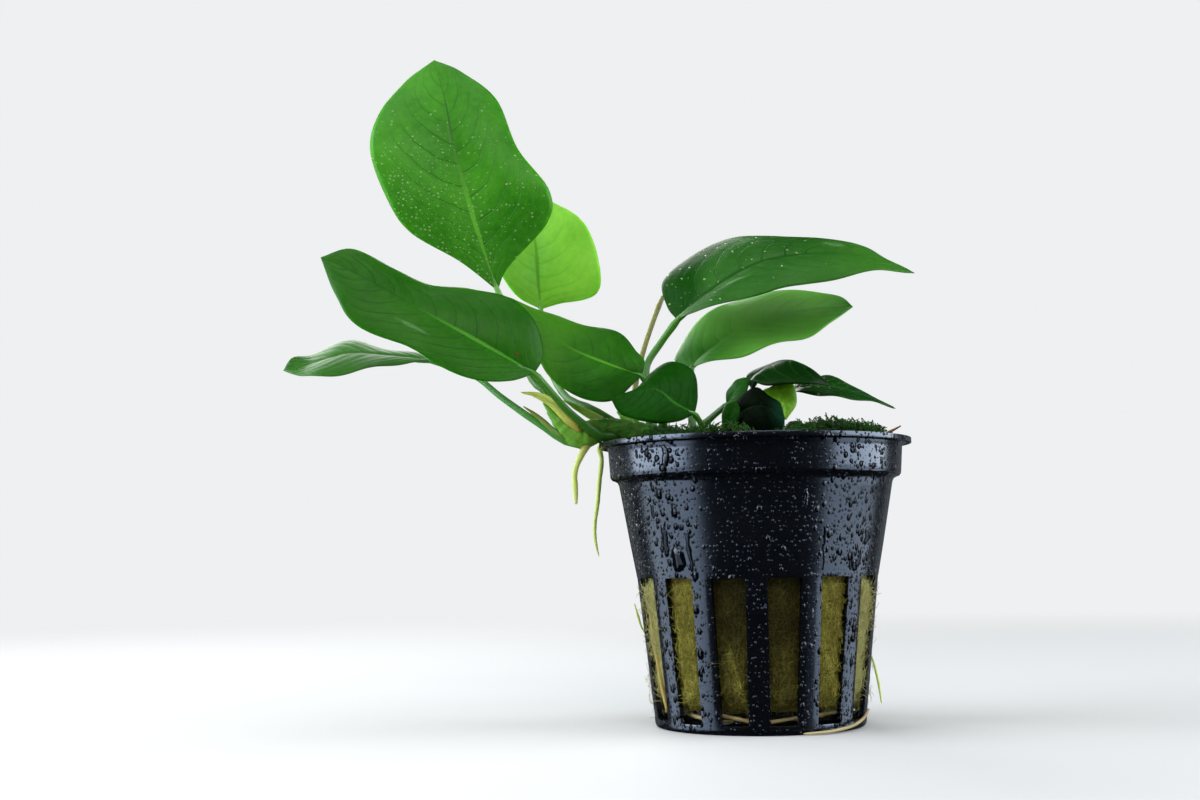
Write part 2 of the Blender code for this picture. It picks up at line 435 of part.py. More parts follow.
def make_pot(finish):
    """Net pot: two skins joined at the lip and around every slot."""
    rows = pot_radius_rows()
    outer = [row[0] for row in rows]
    slot_row = outer.index((SLOT_TOP_RADIUS, SLOT_TOP))
    floor_slot_row = outer.index((FLOOR_SLOT_OUTER, 0.0))
    columns = SLOTS * 3
    pitch = 2 * math.pi / SLOTS

    def angle_at(column, radius):
        rib, place = divmod(column, 3)
        centre = FRONT_RIB_ANGLE + rib * pitch
        half = RIB_WIDTH / 2 / max(radius, SLOT_BOTTOM_RADIUS)
        return centre + (-half, half, pitch / 2)[place]

    vertices = []
    for skin in (0, 1):
        for row in rows:
            for column in range(columns):
                angle = angle_at(column, min(row[0][0], SLOT_TOP_RADIUS))
                radius, height = row[skin]
                vertices.append((radius * math.cos(angle), radius * math.sin(angle), height))
    middle_out = len(vertices)
    vertices += [(0.0, 0.0, 0.0), (0.0, 0.0, WALL)]

    def index(skin, row, column):
        return (skin * len(rows) + row) * columns + column % columns

    def present(row, column):
        if row < 0:
            return False
        in_slot = column % 3 != 0
        if row == slot_row and in_slot:
            return False
        return not (row == floor_slot_row and in_slot and column % columns // 3 % 2 == 0)

    faces = []
    for row in range(len(rows) - 1):
        for column in range(columns):
            if not present(row, column):
                continue
            for skin in (0, 1):
                faces.append((index(skin, row, column), index(skin, row, column + 1),
                              index(skin, row + 1, column + 1), index(skin, row + 1, column)))
            edges = [((row - 1, column), (row, column), (row, column + 1)),
                     ((row + 1, column), (row + 1, column), (row + 1, column + 1)),
                     ((row, (column - 1) % columns), (row, column), (row + 1, column)),
                     ((row, (column + 1) % columns), (row, column + 1), (row + 1, column + 1))]
            for beyond, a, b in edges:
                if not present(*beyond):
                    faces.append((index(0, *a), index(0, *b), index(1, *b), index(1, *a)))
    last = len(rows) - 1
    for column in range(columns):
        for skin in (0, 1):
            faces.append((index(skin, last, column), index(skin, last, column + 1), middle_out + skin))
        if not present(last - 1, column):
            faces.append((index(0, last, column), index(0, last, column + 1),
                          index(1, last, column + 1), index(1, last, column)))
    pot = add_object("pot", vertices, faces, finish)
    pot.data.set_sharp_from_angle(angle=math.radians(POT_SHARP_DEGREES))
    return pot


def pot_inner_radius(height):
    """Inner radius of the pot's body at a height."""
    inner = [skins[1] for skins in pot_radius_rows() if skins[0][1] >= SLOT_BOTTOM]
    for (r1, z1), (r0, z0) in zip(inner, inner[1:]):
        if z0 <= height <= z1 and z1 > z0:
            return r0 + (r1 - r0) * (height - z0) / (z1 - z0)
    return inner[-1][0]


def pot_outer_radius(height):
    """Outer radius of the pot's slotted wall at a height."""
    share = (height - SLOT_BOTTOM) / (SLOT_TOP - SLOT_BOTTOM)
    return SLOT_BOTTOM_RADIUS + (SLOT_TOP_RADIUS - SLOT_BOTTOM_RADIUS) * share


def make_wool(finish):
    """Lumpy plug of rock wool: behind each rib it stays inside the wall, and in each slot it bulges out."""
    pitch = 2 * math.pi / SLOTS
    half_rib = RIB_WIDTH / 2 / SLOT_BOTTOM_RADIUS
    rings = []
    for height in WOOL_LEVELS:
        in_slots = WOOL_BOTTOM < height < SLOT_TOP
        behind = pot_inner_radius(min(height, COLLAR_BOTTOM - 1.0)) - GAP - COLLAR_DRAFT
        half_bulge = pitch / 2 - half_rib - SLOT_CLEARANCE / behind
        ring = []
        for slot in range(SLOTS):
            middle = FRONT_RIB_ANGLE + (slot + 0.5) * pitch
            for offset in (half_rib - pitch / 2, -half_bulge, half_bulge, pitch / 2 - half_rib):
                angle = middle + offset
                around = Vector((math.cos(angle), math.sin(angle), 0.0))
                spot = around * NOISE_AROUND + Vector((0.0, 0.0, height * NOISE_RISE))
                dent = 0.5 + 0.5 * noise(spot)
                radius, drop = behind - WOOL_LUMPS * dent, 0.0
                if in_slots and abs(offset) == half_bulge:
                    radius = pot_outer_radius(height) - SLOT_RECESS - SLOT_LUMPS * dent
                if height == WOOL_BOTTOM:
                    radius, drop = behind - WOOL_TAPER, WOOL_RAGGED * noise(spot * 3)
                ring.append(around * radius + Vector((0.0, 0.0, height + drop)))
        rings.append(ring)
    crown = Vector((0.0, 0.0, WOOL_TOP + WOOL_CROWN))
    hollow = Vector((0.0, 0.0, WOOL_BOTTOM + WOOL_HOLLOW))
    top = [Vector((v.x * WOOL_TOP_SHRINK, v.y * WOOL_TOP_SHRINK, crown.z)) for v in rings[-1]]
    bottom = [Vector((v.x * WOOL_FLOOR_SHRINK, v.y * WOOL_FLOOR_SHRINK, hollow.z)) for v in rings[0]]
    return add_object("rock_wool", *skin_rings([bottom] + rings + [top], hollow, crown), finish)


def make_moss(name, bed, finish):
    """Low cushion of moss shaped as part of a ring, with an uneven top."""
    steps, bands = MOSS_STEPS, MOSS_BANDS
    floor = WOOL_TOP + WOOL_CROWN + GAP
    inner, outer = bed["radii"]
    edge_height, middle_height = bed["heights"]
    vertices = []
    for level in (0, 1):
        for i in range(steps + 1):
            angle = math.radians(bed["start"] + bed["sweep"] * i / steps)
            for j in range(bands + 1):
                radius = inner + (outer - inner) * j / bands
                x, y = radius * math.cos(angle), radius * math.sin(angle)
                lump = 1 + MOSS_LUMPS * noise(Vector((x * MOSS_GRAIN, y * MOSS_GRAIN, 3.0)))
                on_edge = i in (0, steps) or j in (0, bands)
                rise = edge_height if on_edge else middle_height * lump
                vertices.append((x, y, floor + level * rise))

    def index(level, i, j):
        return (level * (steps + 1) + i) * (bands + 1) + j

    faces = []
    for i in range(steps):
        for j in range(bands):
            for level in (0, 1):
                faces.append((index(level, i, j), index(level, i + 1, j), index(level, i + 1, j + 1),
                              index(level, i, j + 1)))
        for j in (0, bands):
            faces.append((index(0, i, j), index(0, i + 1, j), index(1, i + 1, j), index(1, i, j)))
    for j in range(bands):
        for i in (0, steps):
            faces.append((index(0, i, j), index(0, i, j + 1), index(1, i, j + 1), index(1, i, j)))
    return add_object(name, vertices, faces, finish)


def build():
    for old in list(bpy.data.objects):
        bpy.data.objects.remove(old)
    finishes = {name: material(name) for name in FINISHES}
    make_pot(finishes["plastic_black"])
    make_wool(finishes["rock_wool_fibre"])
    make_tube("rhizome", RHIZOME, finishes["rhizome_green"], RHIZOME_SIDES, RHIZOME_ROWS)
    for name, leaf in LEAVES.items():
        make_leaf(name, leaf, finishes[leaf["finish"]])
    for name, stem in STEMS.items():
        make_tube(name, stem["route"], finishes[stem["finish"]], STEM_SIDES, stem["rows"])
    for name, bed in MOSS.items():
        make_moss(name, bed, finishes["moss_green"])


build()
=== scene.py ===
import math

import bmesh
import bpy
from mathutils import Matrix, Vector
from mathutils.noise import noise


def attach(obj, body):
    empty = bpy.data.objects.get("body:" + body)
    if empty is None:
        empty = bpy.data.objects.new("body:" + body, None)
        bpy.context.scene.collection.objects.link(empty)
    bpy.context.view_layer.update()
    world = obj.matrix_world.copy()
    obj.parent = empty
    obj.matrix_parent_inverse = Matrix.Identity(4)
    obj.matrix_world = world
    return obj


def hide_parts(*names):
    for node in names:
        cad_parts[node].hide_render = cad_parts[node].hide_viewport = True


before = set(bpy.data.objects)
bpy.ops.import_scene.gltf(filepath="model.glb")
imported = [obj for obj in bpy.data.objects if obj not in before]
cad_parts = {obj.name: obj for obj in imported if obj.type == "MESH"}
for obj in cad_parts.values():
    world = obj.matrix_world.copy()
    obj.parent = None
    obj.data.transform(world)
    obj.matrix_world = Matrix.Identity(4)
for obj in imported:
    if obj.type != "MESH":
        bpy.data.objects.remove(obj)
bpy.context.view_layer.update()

mm = 0.001   # every length below is in millimetres until a mesh is made


def srgb(r, g, b):
    # screen colour 0-255 to the linear value a shader wants
    out = []
    for c in (r / 255, g / 255, b / 255):
        out.append(c / 12.92 if c <= 0.04045 else ((c + 0.055) / 1.055) ** 2.4)
    return (*out, 1.0)


def smoothPoint(points, t):
    # point at share t of the length of a smooth curve through the points
    vectors = [Vector(p) for p in points]
    lengths = [0.0]
    for a, b in zip(vectors, vectors[1:]):
        lengths.append(lengths[-1] + (b - a).length)
    target = t * lengths[-1]
    i = 0
    while i < len(vectors) - 2 and lengths[i + 1] < target:
        i += 1
    before = vectors[i - 1] if i > 0 else 2 * vectors[0] - vectors[1]
    after = vectors[i + 2] if i + 2 < len(vectors) else 2 * vectors[-1] - vectors[-2]
    a, b = vectors[i], vectors[i + 1]
    u = (target - lengths[i]) / max(lengths[i + 1] - lengths[i], 1e-9)
    return 0.5 * (2 * a + (b - before) * u + (2 * before - 5 * a + 4 * b - after) * u * u
                  + (3 * a - before - 3 * b + after) * u * u * u)


def smoothStep(low, high, value):
    share = min(max((value - low) / (high - low), 0.0), 1.0)
    return share * share * (3 - 2 * share)


def onCircle(radius, angle, z):
    return Vector((radius * math.cos(angle), radius * math.sin(angle), z))


def newPiece(name, vertices, faces, materials, uvs=None, faceMaterials=None, shares=None, closed=True):
    # vertices in millimetres; uvs and shares are one entry per vertex
    mesh = bpy.data.meshes.new(name)
    mesh.from_pydata([Vector(v) * mm for v in vertices], [], faces)
    for m in materials:
        mesh.materials.append(m)
    if faceMaterials:
        mesh.polygons.foreach_set("material_index", faceMaterials)
    if uvs:
        layer = mesh.uv_layers.new(name="UVMap")
        for loop in mesh.loops:
            layer.data[loop.index].uv = uvs[loop.vertex_index]
    if shares:
        layer = mesh.attributes.new("share", "FLOAT", "POINT")
        layer.data.foreach_set("value", shares)
    mesh.shade_smooth()
    if closed:
        work = bmesh.new()
        work.from_mesh(mesh)
        bmesh.ops.recalc_face_normals(work, faces=work.faces)
        work.to_mesh(mesh)
        work.free()
    return place(name, mesh)


def place(name, data):
    made = bpy.data.objects.new(name, data)
    bpy.context.scene.collection.objects.link(made)
    return made


def register(piece, slot, *nodes):
    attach(piece, "root")
    if nodes:
        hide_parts(*nodes)


def bandFaces(first, rows, sides):
    # faces between rows of vertices that each run round once
    faces = []
    for a in range(first, first + rows * sides, sides):
        for i in range(sides):
            j = (i + 1) % sides
            faces.append((a + i, a + j, a + sides + j, a + sides + i))
    return faces


class Signal:
    # one output of a node, which takes part in sums as a number does
    def __init__(self, socket):
        self.socket = socket
        self.tree = socket.id_data

    __add__ = lambda a, b: calc("ADD", a, b)
    __sub__ = lambda a, b: calc("SUBTRACT", a, b)
    __rsub__ = lambda a, b: calc("SUBTRACT", b, a)
    __mul__ = lambda a, b: calc("MULTIPLY", a, b)
    __truediv__ = lambda a, b: calc("DIVIDE", a, b)
    __rtruediv__ = lambda a, b: calc("DIVIDE", b, a)
    __pow__ = lambda a, b: calc("POWER", a, b)
    __abs__ = lambda a: calc("ABSOLUTE", a)
    __lt__ = lambda a, b: calc("LESS_THAN", a, b)
    __gt__ = lambda a, b: calc("GREATER_THAN", a, b)


def feed(node, values):
    for key, value in values.items():
        if isinstance(value, Signal):
            value.tree.links.new(value.socket, node.inputs[key])
        else:
            node.inputs[key].default_value = value


def put(tree, kind, values=None, **settings):
    # a new node; with no tree named, it goes where the first linked value comes from
    values = values or {}
    if tree is None:
        tree = next(v.tree for v in values.values() if isinstance(v, Signal))
    made = tree.nodes.new(kind)
    for key, value in settings.items():
        setattr(made, key, value)
    feed(made, values)
    return made


def signal(tree, kind, values=None, pick=0, **settings):
    # the same, but gives the output that pick names, or a list where it names several
    made = put(tree, kind, values, **settings)
    if isinstance(pick, tuple):
        return [Signal(made.outputs[key]) for key in pick]
    return Signal(made.outputs[pick])


def calc(operation, *values, clamp=False):
    return signal(None, "ShaderNodeMath", dict(enumerate(values)), operation=operation, use_clamp=clamp)


def vectorCalc(operation, *values, pick=0, **named):
    inputs = {**dict(enumerate(values)), **named}
    return signal(None, "ShaderNodeVectorMath", inputs, pick, operation=operation)


def remap(value, low, high, toLow=0.0, toHigh=1.0, ramp="LINEAR"):
    return signal(None, "ShaderNodeMapRange", {0: value, 1: low, 2: high, 3: toLow, 4: toHigh},
                  interpolation_type=ramp)


def ease(value, low, high):
    return remap(value, low, high, ramp="SMOOTHSTEP")


def blend(factor, a, b):
    # colours are signals, screen colours 0-255, or linear with a fourth value
    a, b = (srgb(*c) if isinstance(c, tuple) and len(c) == 3 else c for c in (a, b))
    return signal(None, "ShaderNodeMix", {0: factor, 6: a, 7: b}, 2, data_type="RGBA")


def grain(vector, scale, detail=3.0, rough=0.5, distortion=0.0, pick="Fac"):
    return signal(None, "ShaderNodeTexNoise",
                  {"Vector": vector, "Scale": scale, "Detail": detail, "Roughness": rough,
                   "Distortion": distortion}, pick)


def stretched(vector, x, y, z, turn=(0.0, 0.0, 0.0)):
    return signal(None, "ShaderNodeMapping", {"Vector": vector, "Scale": (x, y, z), "Rotation": turn})


def split(vector):
    return signal(None, "ShaderNodeSeparateXYZ", {0: vector}, (0, 1, 2))


def join(*parts):
    return signal(None, "ShaderNodeCombineXYZ", dict(enumerate(parts)))


def pushed(vector, scale, detail, amount):
    # the vector, moved about by noise
    centred = vectorCalc("SUBTRACT", grain(vector, scale, detail, pick="Color"), (0.5, 0.5, 0.5))
    return vectorCalc("ADD", vector, vectorCalc("SCALE", centred, Scale=amount))


def bumped(height):
    return signal(None, "ShaderNodeBump", {"Height": height, "Distance": 1.0})


def newTree(family, name, inputs):
    # an input is given by its default number, or by its kind of socket where it has none
    tree = bpy.data.node_groups.new(name, family)
    for label, value in inputs.items():
        kind = "NodeSocketInt" if isinstance(value, int) else "NodeSocketFloat"
        if isinstance(value, str):
            kind = value
        socket = tree.interface.new_socket(name=label, in_out="INPUT", socket_type=kind)
        if kind != value:
            socket.default_value = value
    start = tree.nodes.new("NodeGroupInput")
    return tree, {label: Signal(start.outputs[label]) for label in inputs}


def endTree(tree, results, kind="NodeSocketFloat"):
    for label in results:
        tree.interface.new_socket(name=label, in_out="OUTPUT", socket_type=kind)
    feed(tree.nodes.new("NodeGroupOutput"), results)
    return tree


def endGeometry(geometry, material):
    real = signal(None, "GeometryNodeRealizeInstances", {"Geometry": geometry})
    finished = signal(None, "GeometryNodeSetMaterial", {"Geometry": real, "Material": material})
    return endTree(geometry.tree, {"Geometry": finished}, "NodeSocketGeometry")


def use(group, **values):
    # a group in the tree of the values given to it, as its outputs
    made = next(v.tree for v in values.values() if isinstance(v, Signal)).nodes.new("ShaderNodeGroup")
    made.node_tree = group
    feed(made, values)
    return [Signal(socket) for socket in made.outputs]


def newFinish(name):
    made = bpy.data.materials.new(name)
    made.use_nodes = True
    tree = made.node_tree
    tree.nodes.clear()
    shader = tree.nodes.new("ShaderNodeBsdfPrincipled")
    output = tree.nodes.new("ShaderNodeOutputMaterial")
    tree.links.new(shader.outputs[0], output.inputs[0])
    return made, shader, signal(tree, "ShaderNodeTexCoord", pick="Object")


viewSettings = {"place": (-26.21, -275.7, 29.32), "pitch": 0.094, "roll": -0.015, "lens": 48.4}


def placeCamera(s):
    forward = Vector((0, math.cos(s["pitch"]), math.sin(s["pitch"])))
    upright = Vector((0, -math.sin(s["pitch"]), math.cos(s["pitch"])))
    aside = Vector((1, 0, 0))
    right = math.cos(s["roll"]) * aside + math.sin(s["roll"]) * upright
    up = math.cos(s["roll"]) * upright - math.sin(s["roll"]) * aside
    data = bpy.data.cameras.new("camera")
    data.sensor_width = 36.0
    data.lens = s["lens"]
    data.clip_start = 0.01
    camera = place("camera", data)
    turn = Matrix((right, up, -forward)).transposed()
    camera.matrix_world = Matrix.Translation(Vector(s["place"]) * mm) @ turn.to_4x4()
    bpy.context.scene.camera = camera


coolLight = (0.84, 0.92, 1.0)
studio = {
    # name: (place, target, width, height, power, colour) in metres and watts
    "sideLeft": ((-0.55, -0.05, 0.25), (0, -0.01, 0.06), 0.66, 0.56, 7.0, coolLight),
    "sideRight": ((0.55, -0.05, 0.25), (0, -0.01, 0.06), 0.66, 0.56, 6.0, coolLight),
    "tableLeft": ((-0.55, -0.05, -0.17), (0, -0.05, -0.17), 0.66, 0.24, 1.1, (0.78, 0.89, 1.0)),
    "tableRight": ((0.55, -0.05, -0.17), (0, -0.05, -0.17), 0.66, 0.24, 0.95, (0.78, 0.89, 1.0)),
    "overhead": ((-0.1, -0.05, 0.7), (0, 0, 0.06), 0.45, 0.45, 1.5, (1.0, 0.99, 0.96)),
    "above": ((0.05, -0.5, 0.5), (0, 0, 0.06), 0.5, 0.35, 2.4, (1.0, 0.99, 0.97)),
    "edgeLeft": ((-0.42, 0.75, 0.1), (0, 0, 0.05), 0.5, 0.6, 0.16, coolLight),
    "edgeRight": ((0.42, 0.75, 0.1), (0, 0, 0.05), 0.5, 0.6, 0.16, coolLight),
    "behind": ((-0.25, 0.6, 0.35), (-0.02, 0, 0.07), 0.5, 0.4, 3.0, (1.0, 1.0, 0.98)),
}
backdropLook = {"Color": (0.86, 0.87, 0.88, 1), "Strength": 1.0}
roomLook = {"Color": (0.8, 0.87, 1.0, 1), "Strength": 0.024}


def placeLights(lamps):
    for name, (spot, target, width, height, power, colour) in lamps.items():
        data = bpy.data.lights.new(name, "AREA")
        data.shape = "RECTANGLE"
        data.size = width
        data.size_y = height
        data.energy = power
        data.color = colour
        lamp = place(name, data)
        lamp.location = spot
        lamp.visible_camera = False
        lamp.rotation_mode = "QUATERNION"
        lamp.rotation_quaternion = (Vector(target) - Vector(spot)).to_track_quat("-Z", "Y")
    world = bpy.data.worlds.new("softRoom")
    world.use_nodes = True
    tree = world.node_tree
    tree.nodes.clear()
    # the room is seen as a pale backdrop and felt as a faint light
    both = signal(tree, "ShaderNodeMixShader", {0: signal(tree, "ShaderNodeLightPath", pick="Is Camera Ray"),
                                                1: signal(tree, "ShaderNodeBackground", roomLook),
                                                2: signal(tree, "ShaderNodeBackground", backdropLook)})
    put(tree, "ShaderNodeOutputWorld", {0: both})
    bpy.context.scene.world = world
    bpy.context.scene.view_settings.view_transform = "Standard"


def makeFloor(radii=(250.0, 700.0), sides=72):
    # wide pale round floor
    finish, shader, where = newFinish("paleFloor")
    tree = where.tree
    paint = blend(grain(where, 3.0, 2.0), (0.515, 0.51, 0.505, 1), (0.545, 0.54, 0.53, 1))
    feed(shader, {"Base Color": paint, "Roughness": 0.7, "Specular IOR Level": 0.2})
    seen, mirrored = signal(tree, "ShaderNodeLightPath", pick=("Is Camera Ray", "Is Glossy Ray"))
    # its far part fades into the backdrop without a line
    faded = ease(vectorCalc("LENGTH", where, pick="Value"), 0.16, 0.5) * seen
    swept = signal(tree, "ShaderNodeMixShader", {0: faded, 1: Signal(shader.outputs[0]),
                                                 2: signal(tree, "ShaderNodeEmission", backdropLook)})
    # the wet plastic mirrors the soft boxes at its sides, which reach below the floor
    both = signal(tree, "ShaderNodeMixShader", {0: mirrored, 1: swept,
                                                2: signal(tree, "ShaderNodeBsdfTransparent")})
    feed(tree.nodes["Material Output"], {0: both})
    vertices = [(0, 0, 0)]
    for radius in radii:
        vertices += [onCircle(radius, 2 * math.pi * i / sides, 0) for i in range(sides)]
    faces = [(0, 1 + i, 1 + (i + 1) % sides) for i in range(sides)]
    for i in range(sides):
        j = (i + 1) % sides
        faces.append((1 + i, 1 + sides + i, 1 + sides + j, 1 + j))
    newPiece("floor", vertices, faces, [finish], closed=False)


placeCamera(viewSettings)
placeLights(studio)
makeFloor()
print("camera, lights and floor set")


# Shader groups that several finishes share.
def makeBeadGroup():
    # scattered water beads: rounded caps of mixed size, as a mask and a height in metres
    tree, given = newTree("ShaderNodeTree", "waterBeads", {
        "Vector": "NodeSocketVector", "Cell": 0.0015, "Size": 0.42, "Fill": 0.6, "Wobble": 0.0004,
        "Relief": 0.5})
    scale = 1.0 / given["Cell"]
    moved = pushed(given["Vector"], scale, 1.0, given["Wobble"])
    distance, colour = signal(None, "ShaderNodeTexVoronoi", {"Vector": moved, "Scale": scale},
                              ("Distance", "Color"), voronoi_dimensions="2D")
    size, chance = signal(None, "ShaderNodeSeparateColor", {0: colour}, (0, 1))
    radius = given["Size"] * (size ** 2.0 * 0.72 + 0.28)
    near = distance / radius
    cap = calc("SUBTRACT", 1.0, near * near, clamp=True) * (chance < given["Fill"])
    height = cap ** 0.55 * radius * (given["Cell"] * given["Relief"])
    return endTree(tree, {"Mask": remap(cap, 0.02, 0.2), "Height": height})


def makeMottleGroup():
    # soft blotches at two sizes, for living tissue and aged surfaces
    tree, given = newTree("ShaderNodeTree", "softMottle", {
        "Vector": "NodeSocketVector", "Coarse": 90.0, "Fine": 600.0, "Balance": 0.35})
    broad = grain(given["Vector"], given["Coarse"], 2.0)
    small = grain(given["Vector"], given["Fine"])
    both = signal(None, "ShaderNodeMix", {0: given["Balance"], 2: broad, 3: small})
    return endTree(tree, {"Tone": remap(both, 0.32, 0.68)})


# Side veins leave the midrib with a lean and bend towards the tip; those of the right half stand a share
# of a gap further on. The blades' meshes follow the same lines.
veinShape = {"lean": 0.08, "arc": 0.3, "stagger": 0.43}


def makeVeinGroup():
    # leaf veins in the blade's own map: U runs from margin to margin, V from base to tip
    tree, given = newTree("ShaderNodeTree", "leafVeins", {
        "Vector": "NodeSocketVector", "Place": "NodeSocketVector", "Count": 11.0, "Width": 0.055,
        "Lean": veinShape["lean"], "Arc": veinShape["arc"]})
    u, v = split(given["Vector"])[:2]
    centred = u * 2.0 - 1.0
    q = abs(centred)
    drift = grain(given["Place"], 160.0, 2.0) * 0.05 - 0.025
    along = v - (given["Arc"] * q + given["Lean"]) * q + drift
    turns = along * given["Count"] + (centred > 0.0) * veinShape["stagger"]
    off = abs(calc("FRACT", turns) - 0.5)
    side = (1.0 - ease(off, 0.0, given["Width"] * (1.25 - q))) * remap(q, 1.0, 0.7)
    fine = 1.0 - ease(abs(calc("FRACT", turns * 4.0) - 0.5), 0.0, 0.2)
    taper = v * -0.068 + 0.07
    middle = 1.0 - ease(q, taper * 0.35, taper)
    return endTree(tree, {"Side": side, "Fine": fine, "Middle": middle, "Edge": remap(q, 0.9, 1.0)})


waterBeads = makeBeadGroup()
softMottle = makeMottleGroup()
leafVeins = makeVeinGroup()


def mottle(where, coarse, fine, balance=0.35):
    return use(softMottle, Vector=where, Coarse=coarse, Fine=fine, Balance=balance)[0]


